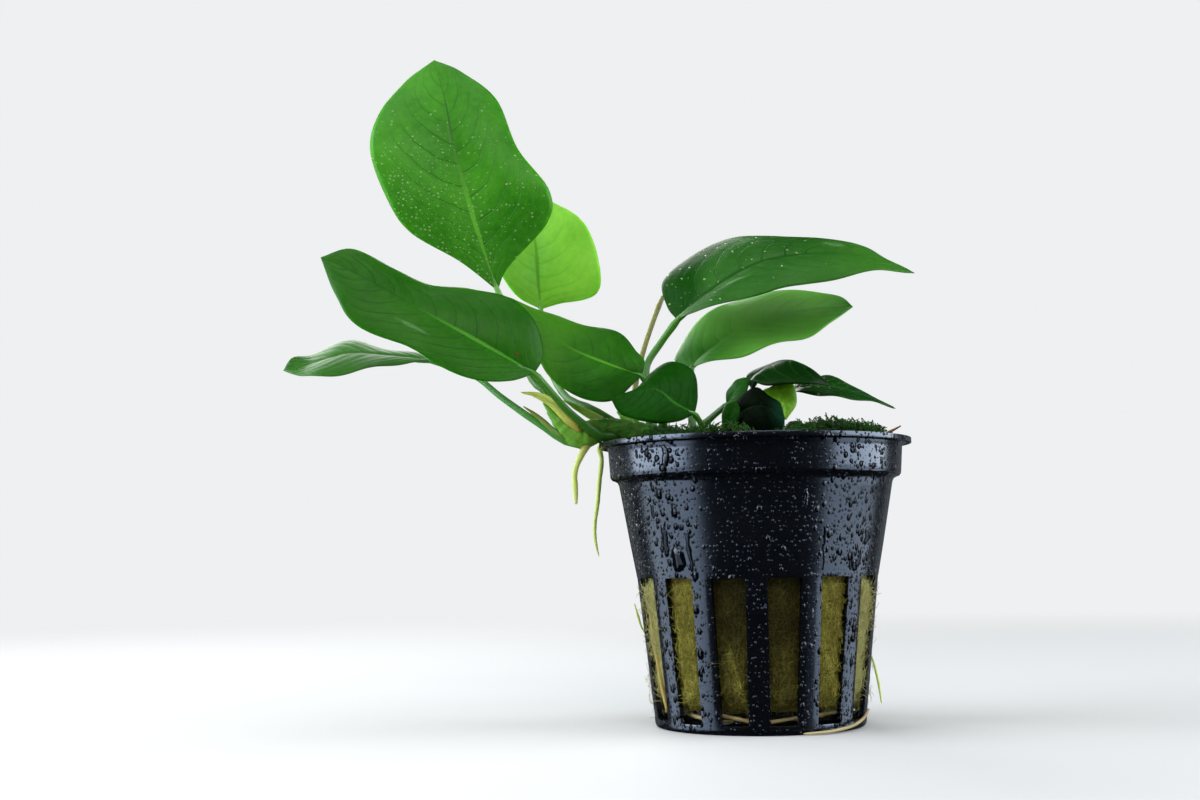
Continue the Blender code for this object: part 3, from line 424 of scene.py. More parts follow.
# Leaves: each one is a stalk, a midrib and two margins, given from base to tip, with left and right as on
# the way to the tip. Colours are screen values. A mark or a film glint is (across, along, reach across, reach
# along) in the blade's map, and a lighter band is (colour, start, end, share in the left half, share in the
# right). A film glint is a smoother wet patch with a painted highlight; a lighter band paints light or sheen
# where noted.
commonLeaf = {
    "bulge": 0.05, "stalkRadius": 0.6, "slot": "leaf_green", "stalkLook": "green", "rough": 0.36,
    "spray": 0.0, "through": 0.1, "gloss": 0.2, "footShadeDepth": 0.0, "marks": [], "filmGlints": [],
}
leaves = {
    "leaf_tall": {
        "stalk": [(-30.2, 0.6, 51.2), (-35.5, 1, 57), (-38, 2.5, 59.5), (-41, 5, 67.5)],
        "rib": [(-44, 6, 75.5), (-48, 4.5, 88), (-51.5, 5, 102), (-53, 7, 109.5), (-55.5, 11, 119)],
        "left": [(-50.5, 4, 80.5), (-59, 2.5, 85.5), (-63, 1.5, 91.5), (-66, 2.5, 100.5), (-64.5, 6, 108.5),
            (-60.5, 9, 114.5)],
        "right": [(-42, 5, 79.5), (-35, 3, 87), (-34.5, 2.5, 92.5), (-40, 4, 100.5), (-44, 8, 110.5),
            (-50.5, 10, 116.5)],
        "stalkRadius": 0.65, "stalkLook": "pale", "deep": (34, 100, 12), "light": (62, 134, 26),
        "vein": (20, 74, 7), "spray": 0.75, "through": 0.25, "gloss": 0.16,
        "marks": [(0.5, 0.99, 0.05, 0.008)], "midrib": (96, 166, 50)},
    "leaf_pale": {
        "stalk": [(-22.5, 2.4, 50.6), (-27.5, 4, 54), (-32.5, 8, 57), (-36, 16, 65)],
        "rib": [(-37, 22, 74.5), (-37.5, 23, 80), (-38, 25, 87.5), (-39, 27.5, 94), (-41, 30, 99.5)],
        "left": [(-41.5, 21, 77), (-44.5, 20, 81.5), (-46.5, 22, 88.5), (-45.5, 27, 95.5)],
        "right": [(-33.5, 22, 75.5), (-26.5, 20, 77), (-26, 20, 83), (-28.5, 22.5, 90.5), (-34.5, 27, 96)],
        "slot": "leaf_pale", "bulge": 0.04, "stalkLook": "pale", "deep": (94, 162, 32),
        "light": (126, 184, 54), "vein": (82, 148, 28), "rough": 0.45, "through": 0.5,
        "midrib": (70, 140, 26)},
    "leaf_long": {
        "foot": [(-23.8, -1.2, 48.9), (-26.2, -2.4, 49)],
        "stalk": [(-28.4, -3.7, 50.3), (-31.8, -5.6, 53.2), (-35.2, -8.2, 57)],
        "rib": [(-37, -9, 59), (-45, -11, 63.5), (-55.5, -12, 69.5), (-64, -12, 74.5), (-72.5, -10, 79)],
        "left": [(-41, -12, 57.5), (-46, -14, 57.5), (-52.5, -15, 60), (-57.5, -15.5, 63), (-66, -15, 67),
            (-69.5, -13, 72)],
        "right": [(-35.5, -8, 62.5), (-37, -7, 68), (-41.5, -6, 72.5), (-47.5, -6, 74), (-54.5, -7, 74.5),
            (-60.5, -8, 77.5), (-67.5, -9, 80.5)],
        "bulge": 0.06, "stalkRadius": 0.65, "deep": (24, 78, 8), "light": (40, 96, 15), "vein": (11, 54, 4),
        "rough": 0.38, "through": 0.25, "gloss": 0.12, "marks": [(0.62, 0.13, 0.025, 0.012)],
        # the film glints are wet patches with painted highlights
        "filmGlints": [(0.24, 0.52, 0.03, 0.07), (0.45, 0.07, 0.05, 0.02)], "midrib": (70, 140, 34)},
    "leaf_low": {
        "foot": [(-28.4, -1.3, 48.6)],
        "stalk": [(-30.6, -1.9, 47.8), (-33.1, -1.9, 48.8), (-36, -1.5, 50.9), (-38.8, -0.9, 52.8),
            (-43.4, 0.9, 56.3), (-48.5, 3, 60.5)],
        "rib": [(-55.5, 4, 63), (-63.5, 4, 64), (-70.5, 5, 64.5), (-78, 6, 62.5), (-82, 7, 62)],
        "left": [(-61, 0, 62), (-68.5, -2, 60.5), (-75, 0, 60), (-79.5, 4, 61)],
        "right": [(-57.5, 7, 64.5), (-66, 10, 66.5), (-72.5, 12, 68), (-77.5, 11, 65), (-80.5, 8, 64.5)],
        "bulge": 0.04, "stalkRadius": 0.56, "stalkLook": "blue", "deep": (32, 86, 18),
        "light": (54, 104, 36), "vein": (24, 74, 12), "through": 0.3, "gloss": 0.1,
        "midrib": (66, 118, 42)},
    "leaf_centre": {
        "stalk": [(-15.5, -1.4, 50.8), (-16, -2, 53), (-17, -2.5, 56)],
        "rib": [(-19, -3, 59), (-24.5, -3, 61), (-32, -2.5, 64.5), (-37, -1.5, 69.5), (-42, 0, 73.5)],
        "left": [(-20, -5, 58), (-24, -7, 54.5), (-28, -7, 54.5), (-32.3, -5.4, 57), (-35.3, -4.4, 59.6),
            (-37.6, -3, 64), (-40.6, -1, 69.2)],
        "right": [(-18.5, -2, 61.5), (-19.5, 0, 63.5), (-22.5, 2, 67), (-29, 3, 69), (-35.5, 3, 71)],
        "bulge": 0.06, "deep": (18, 68, 6), "light": (40, 100, 14), "vein": (12, 56, 4), "rough": 0.42,
        "through": 0.25, "gloss": 0.08, "footShadeDepth": 0.6, "lighterBand": ((72, 132, 32), 0.5, 1.3, 0.5, 0.5),
        "midrib": (80, 148, 36)},
    "leaf_front": {
        "stalk": [(-9, -3.2, 49.2), (-9, -5.5, 50)],
        "rib": [(-10.5, -8, 52), (-14, -11, 53.5), (-17, -14, 55.5), (-21, -18, 55), (-24.5, -21, 53.5)],
        "left": [(-13.5, -11, 50.5), (-18, -15, 50), (-20.5, -18, 50.5), (-23, -20, 51)],
        "right": [(-9.5, -5, 56), (-10.5, -5, 59.5), (-14, -7, 61), (-17.5, -10, 59), (-21, -16, 55)],
        "bulge": 0.06, "stalkRadius": 0.55, "deep": (8, 44, 3), "light": (20, 72, 7), "vein": (7, 40, 3),
        "rough": 0.46, "gloss": 0.02, "midrib": (52, 112, 24)},
    "leaf_right": {
        "stalk": [(-17.3, 2.4, 50.3), (-18, 3, 57), (-18, 4, 61.5), (-15.5, 4.5, 65.5)],
        "rib": [(-12.5, 4, 69.5), (-8.5, 2, 73), (-1, 0, 77.5), (6, -1, 79.5), (17, -2, 79.5),
            (28, -3, 76)],
        "left": [(-14, 8, 72.5), (-14.5, 11, 77.5), (-10, 14, 82.5), (-0.5, 12, 85.5), (10.5, 9, 85),
            (20, 4, 82), (24, 1, 79.2)],
        "right": [(-10.5, 0, 70), (-4.5, -5, 71), (3.5, -9, 72.5), (9, -10, 73), (18.5, -8, 75.5)],
        "stalkRadius": 0.7, "deep": (20, 68, 10), "light": (38, 90, 24), "vein": (10, 54, 4), "spray": 0.12,
        # painted sheen: the lighter band towards the tip stands in for the sheen there, and the film glints
        # hold painted highlights
        "through": 0.25, "gloss": 0.11, "lighterBand": ((62, 118, 36), 0.72, 1.3, 0.45, 0.45), "footShadeDepth": 0.9,
        "filmGlints": [(0.3, 0.7, 0.08, 0.045), (0.68, 0.3, 0.03, 0.06)], "midrib": (16, 60, 8)},
    "leaf_right_lower": {
        "stalk": [(-10, 3.8, 49.6), (-10.5, 6, 55.5)],
        "rib": [(-10, 8, 61.5), (-7.5, 8, 64), (-0.5, 8, 68.5), (9.5, 8, 71.5), (19, 8, 72)],
        "left": [(-12.8, 12, 63.5), (-11, 14, 67.5), (-7.8, 15.2, 71.2), (-3.5, 16, 74), (4, 16, 76),
            (12, 14, 76), (17, 11, 74.5)],
        "right": [(-7.5, 5, 62), (-1, 3, 63), (5.5, 2, 65), (11.5, 3, 66.5), (17, 6, 70.5)],
        "piece": "lowerRightLeaf", "deep": (40, 106, 22), "light": (70, 134, 46), "vein": (26, 84, 12),
        # painted light: the lighter band lifts the middle of the blade, where leaf_right above casts its
        # shadow
        "through": 0.3, "footShadeDepth": 0.4, "lighterBand": ((112, 182, 70), 0.26, 0.86, 0.8, 0.72),
        "midrib": (54, 116, 30)},
    "leaf_back": {
        "stalk": [(-20.2, 2.8, 49.8), (-20, 6, 58), (-18.6, 8, 64), (-16.9, 10.5, 69.2)],
        "rib": [(-14.7, 13, 75), (-8, 22, 79.5), (-3, 30, 81.5), (1, 36, 81)],
        "left": [(-13.6, 19, 78.5), (-10.5, 27, 81.5), (-4.5, 34, 82)],
        "right": [(-8, 16, 76), (-1, 23, 78), (3, 31, 80.5)],
        "stalkRadius": 0.5, "stalkLook": "olive", "deep": (40, 110, 20), "light": (72, 140, 40),
        "vein": (28, 86, 12), "through": 0.3, "midrib": (90, 154, 50)},
    "leaf_arched": {
        "stalk": [(2, 4.6, 50.4), (0.5, 3.4, 54)],
        "rib": [(0, 2, 57), (2, 0, 60), (6, -2, 61.3), (9.5, -4, 59.6), (12.6, -5, 56.6)],
        "left": [(-0.8, 2.8, 59.2), (1.6, 3.8, 60.8), (6, 3.4, 61.6), (9.6, 0.6, 60)],
        "right": [(-0.6, -3.6, 57.5), (1.5, -6.5, 57), (4.5, -7.6, 56.6), (8, -7.4, 56.9)],
        "slot": "leaf_dark", "stalkRadius": 0.45, "stalkLook": "dark", "deep": (4, 28, 4),
        "light": (11, 48, 7), "vein": (28, 80, 16), "rough": 0.34, "gloss": 0.08, "midrib": (30, 78, 18)},
    "leaf_trailing": {
        "stalk": [(5.5, 5.4, 49.8), (5.8, 5.2, 54)],
        "rib": [(7.2, 3.6, 57), (12.5, 1.5, 57.2), (18, -1.5, 55.6), (23.6, -5, 52.6)],
        "left": [(8.2, 7, 58.4), (13, 6.2, 59.6), (17.2, 3.6, 57.9), (20.6, 0, 54.8)],
        "right": [(7.6, 0.2, 56), (10.6, -2.4, 55.4), (14.6, -4.6, 54.6), (19.2, -6, 53.8)],
        "slot": "leaf_dark", "stalkRadius": 0.45, "stalkLook": "dark", "deep": (9, 46, 7),
        "light": (24, 76, 16), "vein": (60, 106, 52), "rough": 0.24, "spray": 0.1, "gloss": 0.3,
        "midrib": (60, 112, 44)},
    "leaf_small": {
        "stalk": [(-8.6, 0.8, 50.6), (-7.4, 0.2, 51.8), (-6.2, -0.6, 52.8)],
        "rib": [(-4.6, -1.6, 54), (-3.2, -3, 56), (-1.8, -3.2, 57.4), (-0.8, -2.8, 58.2)],
        "left": [(-4.6, -1.4, 56), (-3.4, -1.4, 57.8), (-1.8, -2, 58.6)],
        "right": [(-3.4, -3.6, 54), (-1.8, -4.4, 55), (-1, -3.8, 56.8)],
        "slot": "leaf_dark", "bulge": 0.06, "stalkLook": "dark", "deep": (12, 58, 7), "light": (26, 84, 12),
        "vein": (34, 92, 18), "gloss": 0.1, "midrib": (54, 112, 30)},
    "leaf_curled": {
        "stalk": [(-4.4, -0.6, 49.4), (-4.6, -2, 49.6)],
        "rib": [(-4.2, -4, 50.1), (-2, -6.2, 52.6), (1.2, -8.2, 53), (4.4, -9.2, 50.8)],
        "left": [(-4.2, -3.7, 52.4), (-2, -5, 55.6), (0.2, -6, 56.5), (2, -7.4, 55), (3.8, -8.2, 53.6)],
        "right": [(-3, -5.8, 48.6), (1, -8.4, 48.2), (3.6, -9.4, 48.6)],
        "slot": "leaf_dark", "bulge": 0.08, "stalkRadius": 0.4, "stalkLook": "dark", "deep": (1, 6, 2),
        "light": (2, 13, 3), "vein": (8, 30, 8), "rough": 0.4, "through": 0, "gloss": 0.02,
        # painted sheen: the blue-green band at the tip stands in for the sheen on its lit edge
        "lighterBand": ((16, 52, 34), 0.8, 1.3, 0.9, 0.7), "midrib": (14, 44, 12)},
    "leaf_lobe": {
        "stalk": [(-5.9, -1.8, 48.6), (-5.4, -3.4, 48.9)],
        "rib": [(-4.9, -4.8, 49.5), (-4.5, -5.6, 51), (-4, -6, 52.6), (-3.4, -6, 54.2)],
        "left": [(-5.7, -4.6, 50.4), (-5.7, -5, 52.2), (-5, -5.4, 53.8)],
        "right": [(-3.7, -6.1, 49.9), (-3, -6.6, 51.4), (-2.8, -6.5, 53)],
        "slot": "leaf_dark", "bulge": 0.06, "stalkRadius": 0.35, "deep": (10, 50, 5), "light": (24, 80, 10),
        "vein": (30, 86, 16), "rough": 0.42, "gloss": 0.06, "midrib": (40, 96, 22)},
    "leaf_yellowed": {
        "stalk": [(1.2, 0.6, 49.9), (1.6, -0.6, 53.4)],
        "rib": [(2.4, -1.8, 56.6), (3.9, -3.2, 56.4), (4.9, -4.2, 54.2), (5.1, -4.8, 51)],
        "left": [(4.6, -1.6, 57.6), (6.9, -2.2, 57), (7, -3.6, 53.8)],
        "right": [(1.2, -3.8, 55.9), (1.4, -4.9, 54.4), (3, -5.3, 52.2)],
        "slot": "leaf_yellow", "stalkRadius": 0.4, "deep": (84, 146, 20), "light": (128, 176, 38),
        "vein": (96, 146, 22), "rough": 0.4, "through": 0.2, "midrib": (126, 170, 46)},
    "leaf_stub": {
        "stalk": [(6.6, 2, 47.9), (6, -1.5, 48.4)],
        "rib": [(5.4, -3.6, 49.2), (6.2, -4.6, 50.1), (7.2, -5.4, 50.2), (8.6, -6.2, 49.4)],
        "left": [(5.6, -3.4, 50.6), (6.8, -4.4, 50.9), (7.8, -5.4, 50.4)],
        "right": [(5.8, -5, 49), (7, -6, 49), (8, -6.5, 49)],
        "slot": "leaf_dark", "stalkRadius": 0.35, "stalkLook": "dark", "deep": (10, 46, 8),
        "light": (22, 70, 12), "vein": (30, 84, 18), "rough": 0.3, "midrib": (50, 104, 28)},
}


def makeBladeFinish(s, veinCount):
    finish, shader, where = newFinish(s["piece"] + "Blade")
    chart = signal(where.tree, "ShaderNodeUVMap")
    across, along = split(chart)[:2]
    side, fine, middle, edge = use(leafVeins, Vector=chart, Place=where, Count=veinCount)
    tone = mottle(where, 75.0, 900.0)
    look = blend(tone, s["deep"], s["light"])
    look = blend(fine * 0.12, look, s["vein"])
    look = blend(side * 0.6, look, s["vein"])
    # the midrib is pale near the stalk and sinks to a dark line towards the tip
    look = blend(middle * 0.75, look, blend(ease(along, 0.25, 0.7), s["midrib"], s["vein"]))
    look = blend(edge * 0.15, look, s["light"])
    # painted shade: the left lobe at the foot of a blade is darkened towards the vein colour, standing in for
    # the shade it lies in as it turns away from the light; the same mask lowers its gloss
    footShade = ease(across * 0.62 + along, 0.5, 0.36) * s["footShadeDepth"]
    look = blend(footShade, look, s["vein"])
    # a band of lighter colour laid along the blade; on the blades noted in the table it is painted light or
    # painted sheen
    if "lighterBand" in s:
        colour, start, end, leftShare, rightShare = s["lighterBand"]
        share = ease(along, start - 0.14, start + 0.14) * ease(along, end + 0.14, end - 0.14)
        look = blend(share * remap(across, 0.42, 0.58, leftShare, rightShare), look, colour)
    ragged = grain(where, 420.0, 2.0) * 1.2 - 0.6

    def patch(u, v, reachU, reachV):
        du, dv = (across - u) / reachU, (along - v) / reachV
        return ease(calc("SQRT", du * du + dv * dv) + ragged, 1.1, 0.4)

    for spot in s["marks"]:
        look = blend(patch(*spot), look, (96, 58, 26))
    skin = signal(None, "ShaderNodeTexVoronoi", {"Vector": where, "Scale": 2600.0}, "Distance") * 0.000012
    height = skin + (side + fine * 0.2) * -0.00004
    rough = tone * 0.08 + (s["rough"] - 0.04)
    filmGlint = None
    for spot in s["filmGlints"]:
        filmGlint = calc("MAXIMUM", filmGlint or 0.0, patch(*spot))
    # painted highlight: the wet film patches are lightened towards a pale blue-green; they are also made
    # smoother and raised a little
    if filmGlint:
        look = blend(filmGlint * 0.16, look, (150, 190, 140))
    if s["spray"]:
        x, y, z = split(where)
        low = remap(along, 0.78, 0.4) * remap(across, 0.4, 0.6, 1.0, 0.4)
        mask, beadHeight = use(waterBeads, Vector=join(x, z), Cell=0.00075, Size=0.36, Fill=low * s["spray"],
                               Wobble=0.0001, Relief=0.8)
        height = height + beadHeight
        rough = rough * (mask * -0.85 + 1.0)
        # painted highlight: the beads' colour is lightened towards pale green, as if they caught the light
        look = blend(mask * 0.26, look, (170, 212, 128))
    if filmGlint:
        rough = rough * (filmGlint * -0.7 + 1.0)
        height = filmGlint * 0.00006 + height
    feed(shader, {"Base Color": look, "Roughness": rough, "Normal": bumped(height),
                  "Subsurface Weight": s["through"], "Subsurface Radius": (0.4, 1.0, 0.15),
                  "Subsurface Scale": 0.0006, "Specular Tint": (0.86, 1.0, 0.68, 1.0),
                  "Specular IOR Level": footShade * (-0.95 * s["gloss"]) + s["gloss"]})
    return finish


softTissue = {"Subsurface Radius": (0.6, 1.0, 0.2), "Subsurface Scale": 0.0008}


def makeStalkFinish(name, low, high, reach=1.0):
    # its colour goes from low to high over a share of its length, under long faint streaks
    finish, shader, where = newFinish(name)
    chart = signal(where.tree, "ShaderNodeUVMap")
    streaks = grain(stretched(chart, 14.0, 1.5, 1.0), 3.0)
    base = blend(remap(split(chart)[1], 0.0, reach), low, high)
    shade = (*[c * 0.5 for c in srgb(*low)[:3]], 1)
    feed(shader, {"Base Color": blend(remap(streaks, 0.4, 0.7) * 0.4, base, shade),
                  "Roughness": mottle(where, 200.0, 1500.0) * 0.12 + 0.3,
                  "Normal": bumped(streaks * 0.00006), "Subsurface Weight": 0.3, **softTissue})
    return finish


# (x, y, z, radius) along the creeping stem
rhizomeRoute = [
    (8.0, 4.0, 47.2, 1.2), (4.0, 3.5, 47.6, 1.9), (-3.0, 2.0, 47.8, 1.7), (-8.0, 1.0, 48.0, 2.1),
    (-14.0, 0.5, 48.3, 1.8), (-18.0, 0.0, 49.0, 2.1), (-22.5, -0.4, 50.0, 2.1), (-26.5, -1.0, 50.2, 1.8),
    (-28.8, -1.2, 49.2, 2.3), (-30.6, -1.4, 48.6, 1.7), (-31.4, -1.5, 48.3, 0.6),
]


def nearestOnRhizome(spot):
    # the last few of the 60 steps, in the end's taper, are left out
    spots = [smoothPoint(rhizomeRoute, k / 60).to_3d() for k in range(56)]
    return min(spots, key=lambda p: (p - spot).length)


def tubeRings(centres, sides, firstSide, reach):
    # rings that follow the centres without twisting; reach(ring, place, direction) is the radius
    rings = []
    side = firstSide
    last = len(centres) - 1
    for k, centre in enumerate(centres):
        along = (centres[min(k + 1, last)] - centres[max(k - 1, 0)]).normalized()
        side = (side - side.dot(along) * along).normalized()
        up = side.cross(along)
        ring = []
        for i in range(sides):
            angle = 2 * math.pi * i / sides
            outward = math.cos(angle) * side + math.sin(angle) * up
            ring.append(centre + reach(k, i, outward) * outward)
        rings.append(ring)
    return rings


def closeTube(rings, centres, vertices, faces, uvs):
    # adds a closed tube to the lists; V of its map runs from start to end
    sides, count, first = len(rings[0]), len(rings), len(vertices)
    for k, ring in enumerate(rings):
        vertices += ring
        uvs += [(i / sides, k / (count - 1)) for i in range(sides)]
    faces += bandFaces(first, count - 1, sides)
    start = len(vertices)
    vertices += [centres[0], centres[-1]]
    uvs += [(0.5, 0.0), (0.5, 1.0)]
    top = start - sides
    for i in range(sides):
        j = (i + 1) % sides
        faces.append((first + j, first + i, start))
        faces.append((top + i, top + j, start + 1))


leafDetail = {
    "rows": 110,
    "columns": 18,          # on each side of the midrib
    "smallColumns": 10,
    "halfThickness": 0.17,
    "veinDepth": 0.07,
    "marginWave": 0.28,
    "pillow": 0.05,         # how far the tissue swells between two side veins
    "stalkSides": 12,
}


def makeLeaf(node, leaf, detail, finishes, veinCount, number):
    rib = leaf["rib"]
    base, tip = Vector(rib[0]), Vector(rib[-1])
    left = [rib[0]] + leaf["left"] + [rib[-1]]
    right = [rib[0]] + leaf["right"] + [rib[-1]]
    length = sum((Vector(b) - Vector(a)).length for a, b in zip(rib, rib[1:]))
    rows = max(36, int(detail["rows"] * min(1.0, length / 40)))
    columns = detail["columns"] if length > 25 else detail["smallColumns"]
    phase = number * 1.7
    stations = [0.55 * k / rows + 0.45 * (0.5 - 0.5 * math.cos(math.pi * k / rows)) for k in range(rows + 1)]
    middle = [smoothPoint(rib, t) for t in stations]
    vertices, faces, uvs, ups, upper, lower = [], [], [], [], [], []
    for k in range(1, rows):
        t = stations[k]
        ends = min(t, 1 - t)
        along = (middle[k + 1] - middle[k - 1]).normalized()
        edgeL, edgeR = smoothPoint(left, t), smoothPoint(right, t)
        across = edgeR - edgeL
        across = (across - across.dot(along) * along).normalized()
        if k == 1:
            firstSide = across
        up = across.cross(along).normalized()
        ups.append(up)
        topRow, lowRow = [], []
        for j in range(-columns, columns + 1):
            q = abs(j) / columns
            edge = edgeL if j < 0 else edgeR
            reach = (edge - middle[k]).length
            point = middle[k].lerp(edge, q) + up * leaf["bulge"] * reach * 4 * q * (1 - q)
            # tissue rises between the side veins and sinks at them and along the midrib
            turns = (t - (veinShape["lean"] + veinShape["arc"] * q) * q) * veinCount
            turns += veinShape["stagger"] if j > 0 else 0.0
            off = abs(turns - math.floor(turns) - 0.5)
            fade = min(1.0, q * 6) * (1 - q ** 3) * min(1.0, ends * 8)
            groove = detail["veinDepth"] * math.exp(-(off / 0.07) ** 2)
            lift = (detail["pillow"] * 2 * off - groove) * fade
            lift -= 0.1 * math.exp(-(q * reach / 0.45) ** 2) * min(1.0, t * 4) * (1 - t)
            wave = q * q * min(1.0, reach / 6) * math.sin(t * 19 + phase + (2.0 if j < 0 else 0.0))
            wave = detail["marginWave"] * (wave + 0.5 * q * noise(point * 0.16))
            point = point + up * (lift + wave * min(1.0, ends * 6))
            half = detail["halfThickness"] * math.sqrt(max(0.0, 1 - q ** 5)) * min(1.0, ends * 30)
            margin = abs(j) == columns
            topRow.append(len(vertices))
            vertices.append(point if margin else point + up * half)
            uvs.append((0.5 + 0.5 * j / columns, t))
            lowRow.append(topRow[-1] if margin else len(vertices))
            if not margin:
                vertices.append(point - up * half)
                uvs.append(uvs[-1])
        upper.append(topRow)
        lower.append(lowRow)
    for a, b, c, d in zip(upper, upper[1:], lower, lower[1:]):
        for i in range(2 * columns):
            faces.append((a[i], a[i + 1], b[i + 1], b[i]))
            faces.append((c[i + 1], c[i], d[i], d[i + 1]))
    first, last = len(vertices), len(vertices) + 1
    vertices += [base, tip]
    uvs += [(0.5, 0.0), (0.5, 1.0)]
    for i in range(2 * columns):
        faces.append((first, upper[0][i + 1], upper[0][i]))
        faces.append((first, lower[0][i], lower[0][i + 1]))
        faces.append((last, upper[-1][i], upper[-1][i + 1]))
        faces.append((last, lower[-1][i + 1], lower[-1][i]))
    bladeFaces = len(faces)

    # the stalk starts inside the rhizome and runs on below the blade as the keel of the midrib
    stalk = [Vector(p) for p in leaf["stalk"]]
    foot = [Vector(p) for p in leaf.get("foot", [stalk[0].lerp(nearestOnRhizome(stalk[0]), 0.7)])]
    path = foot + stalk + [base]
    centres, radii = [], []
    steps = max(16, int(length * 0.5))
    for k in range(steps):
        t = k / steps
        centres.append(smoothPoint(path, t))
        swell = 1.0 + 0.35 * math.exp(-(t / 0.07) ** 2) + 0.45 * math.exp(-(t / 0.35) ** 2)
        swell += 0.14 * math.exp(-((t - 0.95) / 0.05) ** 2)
        radii.append(leaf["stalkRadius"] * swell * (1.0 - 0.12 * t))
    for k in range(1, rows, 2):
        t = stations[k]
        radius = leaf["stalkRadius"] * max(0.16, 0.8 - 0.78 * t ** 0.7) * (0.6 if t > 0.97 else 1.0)
        drop = radius * (0.68 + 0.55 * smoothStep(0.12, 0.45, t)) * min(1.0, t * 12)
        centres.append(middle[k] - ups[k - 1] * drop)
        radii.append(radius)
    rings = tubeRings(centres, detail["stalkSides"], firstSide, lambda k, i, outward: radii[k])
    closeTube(rings, centres, vertices, faces, uvs)
    looks = [0] * bladeFaces + [1] * (len(faces) - bladeFaces)
    piece = newPiece(leaf["piece"], vertices, faces, finishes, uvs, looks)
    register(piece, leaf["slot"], node)


# (material name, colour at the base, colour at the end, share of the length over which it changes)
stalkLooks = {
    "green": ("greenStalk", (30, 84, 12), (62, 126, 26), 0.2),
    "pale": ("paleStalk", (40, 96, 18), (96, 160, 48), 0.3),
    "blue": ("blueGreenStalk", (70, 142, 46), (64, 128, 84)),
    "olive": ("oliveStalk", (120, 116, 46), (110, 130, 44)),
    "dark": ("darkStalk", (48, 96, 22), (34, 84, 16)),
    "shoot": ("olivePaleShoot", (166, 150, 56), (186, 200, 92), 0.35),
    "sheath": ("greenSheath", (76, 138, 40), (128, 124, 52)),
    "lightSheath": ("lightGreenSheath", (104, 164, 40), (96, 156, 42)),
    "torn": ("tornEdge", (196, 196, 116), (128, 178, 44), 0.6),
    "root": ("paleGreenRoot", (138, 124, 44), (196, 212, 112), 0.38),
    "rusty": ("rustyStrand", (150, 120, 52), (176, 146, 70)),
    "twig": ("brownTwig", (96, 58, 30), (140, 96, 56)),
    "cream": ("creamRoot", (150, 130, 84), (190, 172, 120)),
}
stalkFinishes = {name: makeStalkFinish(*look) for name, look in stalkLooks.items()}
for number, (node, points) in enumerate(leaves.items()):
    leaf = {**commonLeaf, "piece": node[5:] + "Leaf", **points}
    span = (Vector(leaf["rib"][-1]) - Vector(leaf["rib"][0])).length
    veinCount = 11.0 if span > 30 else (9.0 if span > 18 else 6.0)
    finishes = [makeBladeFinish(leaf, veinCount), stalkFinishes[leaf["stalkLook"]]]
    makeLeaf(node, leaf, leafDetail, finishes, veinCount, number)
print("leaves made:", len(leaves))


# Net pot: one sheet laid out by a node tree, then given its wall and soft edges.
potSizes = {
    "slots": 14,
    "firstRib": -math.pi / 2 - 0.1,
    "ribWidth": 3.45,
    "widest": 30.0,          # the radius curve's value of 1
    "tallest": 50.0,         # the height curve's value of 1
    "wall": 0.8,
    "edgeRounding": 0.16,
    "slotRows": (30, 50),    # rows between which the slots are open
    "floorSlotRows": (56, 60),
    "slotRadii": (17.75, 20.35),     # of the outer skin at the bottom and top of the slots
    "slotHeights": (1.5, 24.9),
    "rows": 64,
    "ribColumns": 3,
    "slotColumns": 5,
    # (row, radius, height) of the outer skin from the lip's edge to the middle of the floor
    "profile": [(0, 26.5, 46.9), (2, 25.5, 46.88), (3, 25.08, 46.72), (4, 24.95, 46.4), (10, 24.66, 42.1),
                (11, 24.6, 41.75), (12, 24.35, 41.45), (13, 23.9, 41.3), (14, 23.4, 41.0), (15, 23.15, 40.4),
                (24, 21.4, 30.5), (30, 20.35, 24.9), (50, 17.75, 1.5), (51, 17.74, 1.0), (52, 17.66, 0.5),
                (53, 17.45, 0.14), (54, 17.1, 0.0), (56, 12.5, 0.0), (60, 6.0, 0.0), (64, 0.0, 0.0)],
    # (height, radius) of the inside of the body
    "inside": [(1.5, 16.95), (24.9, 19.55), (30.5, 20.6), (41.0, 22.5), (42.0, 23.7), (47.7, 23.85)],
}
slotPitch = 2 * math.pi / potSizes["slots"]


def plainMesh(piece):
    # the piece's mesh with its modifiers worked in
    depsgraph = bpy.context.evaluated_depsgraph_get()
    return bpy.data.meshes.new_from_object(piece.evaluated_get(depsgraph), depsgraph=depsgraph)


def growPiece(name, tree, values, base=None):
    # runs a node tree on a base mesh and keeps the result as a plain mesh
    start = base or place(name + "Base", bpy.data.meshes.new(name + "Base"))
    modifier = start.modifiers.new("grow", "NODES")
    modifier.node_group = tree
    sockets = {item.name: item.identifier for item in tree.interface.items_tree if item.in_out == "INPUT"}
    for label, value in values.items():
        modifier[sockets[label]] = value
    mesh = plainMesh(start)
    mesh.name = name
    start.modifiers.remove(modifier)
    if base is None:
        bpy.data.objects.remove(start)
    return place(name, mesh)


def curveTable(value, points):
    # looks a value up on straight lines between the points, both axes from 0 to 1
    made = put(None, "ShaderNodeFloatCurve", {"Value": value})
    curve = made.mapping.curves[0]
    while len(curve.points) > 2:
        curve.points.remove(curve.points[-1])
    curve.points[0].location = points[0]
    curve.points[1].location = points[-1]
    for x, y in points[1:-1]:
        curve.points.new(x, y)
    for point in curve.points:
        point.handle_type = "VECTOR"
    made.mapping.update()
    return Signal(made.outputs[0])


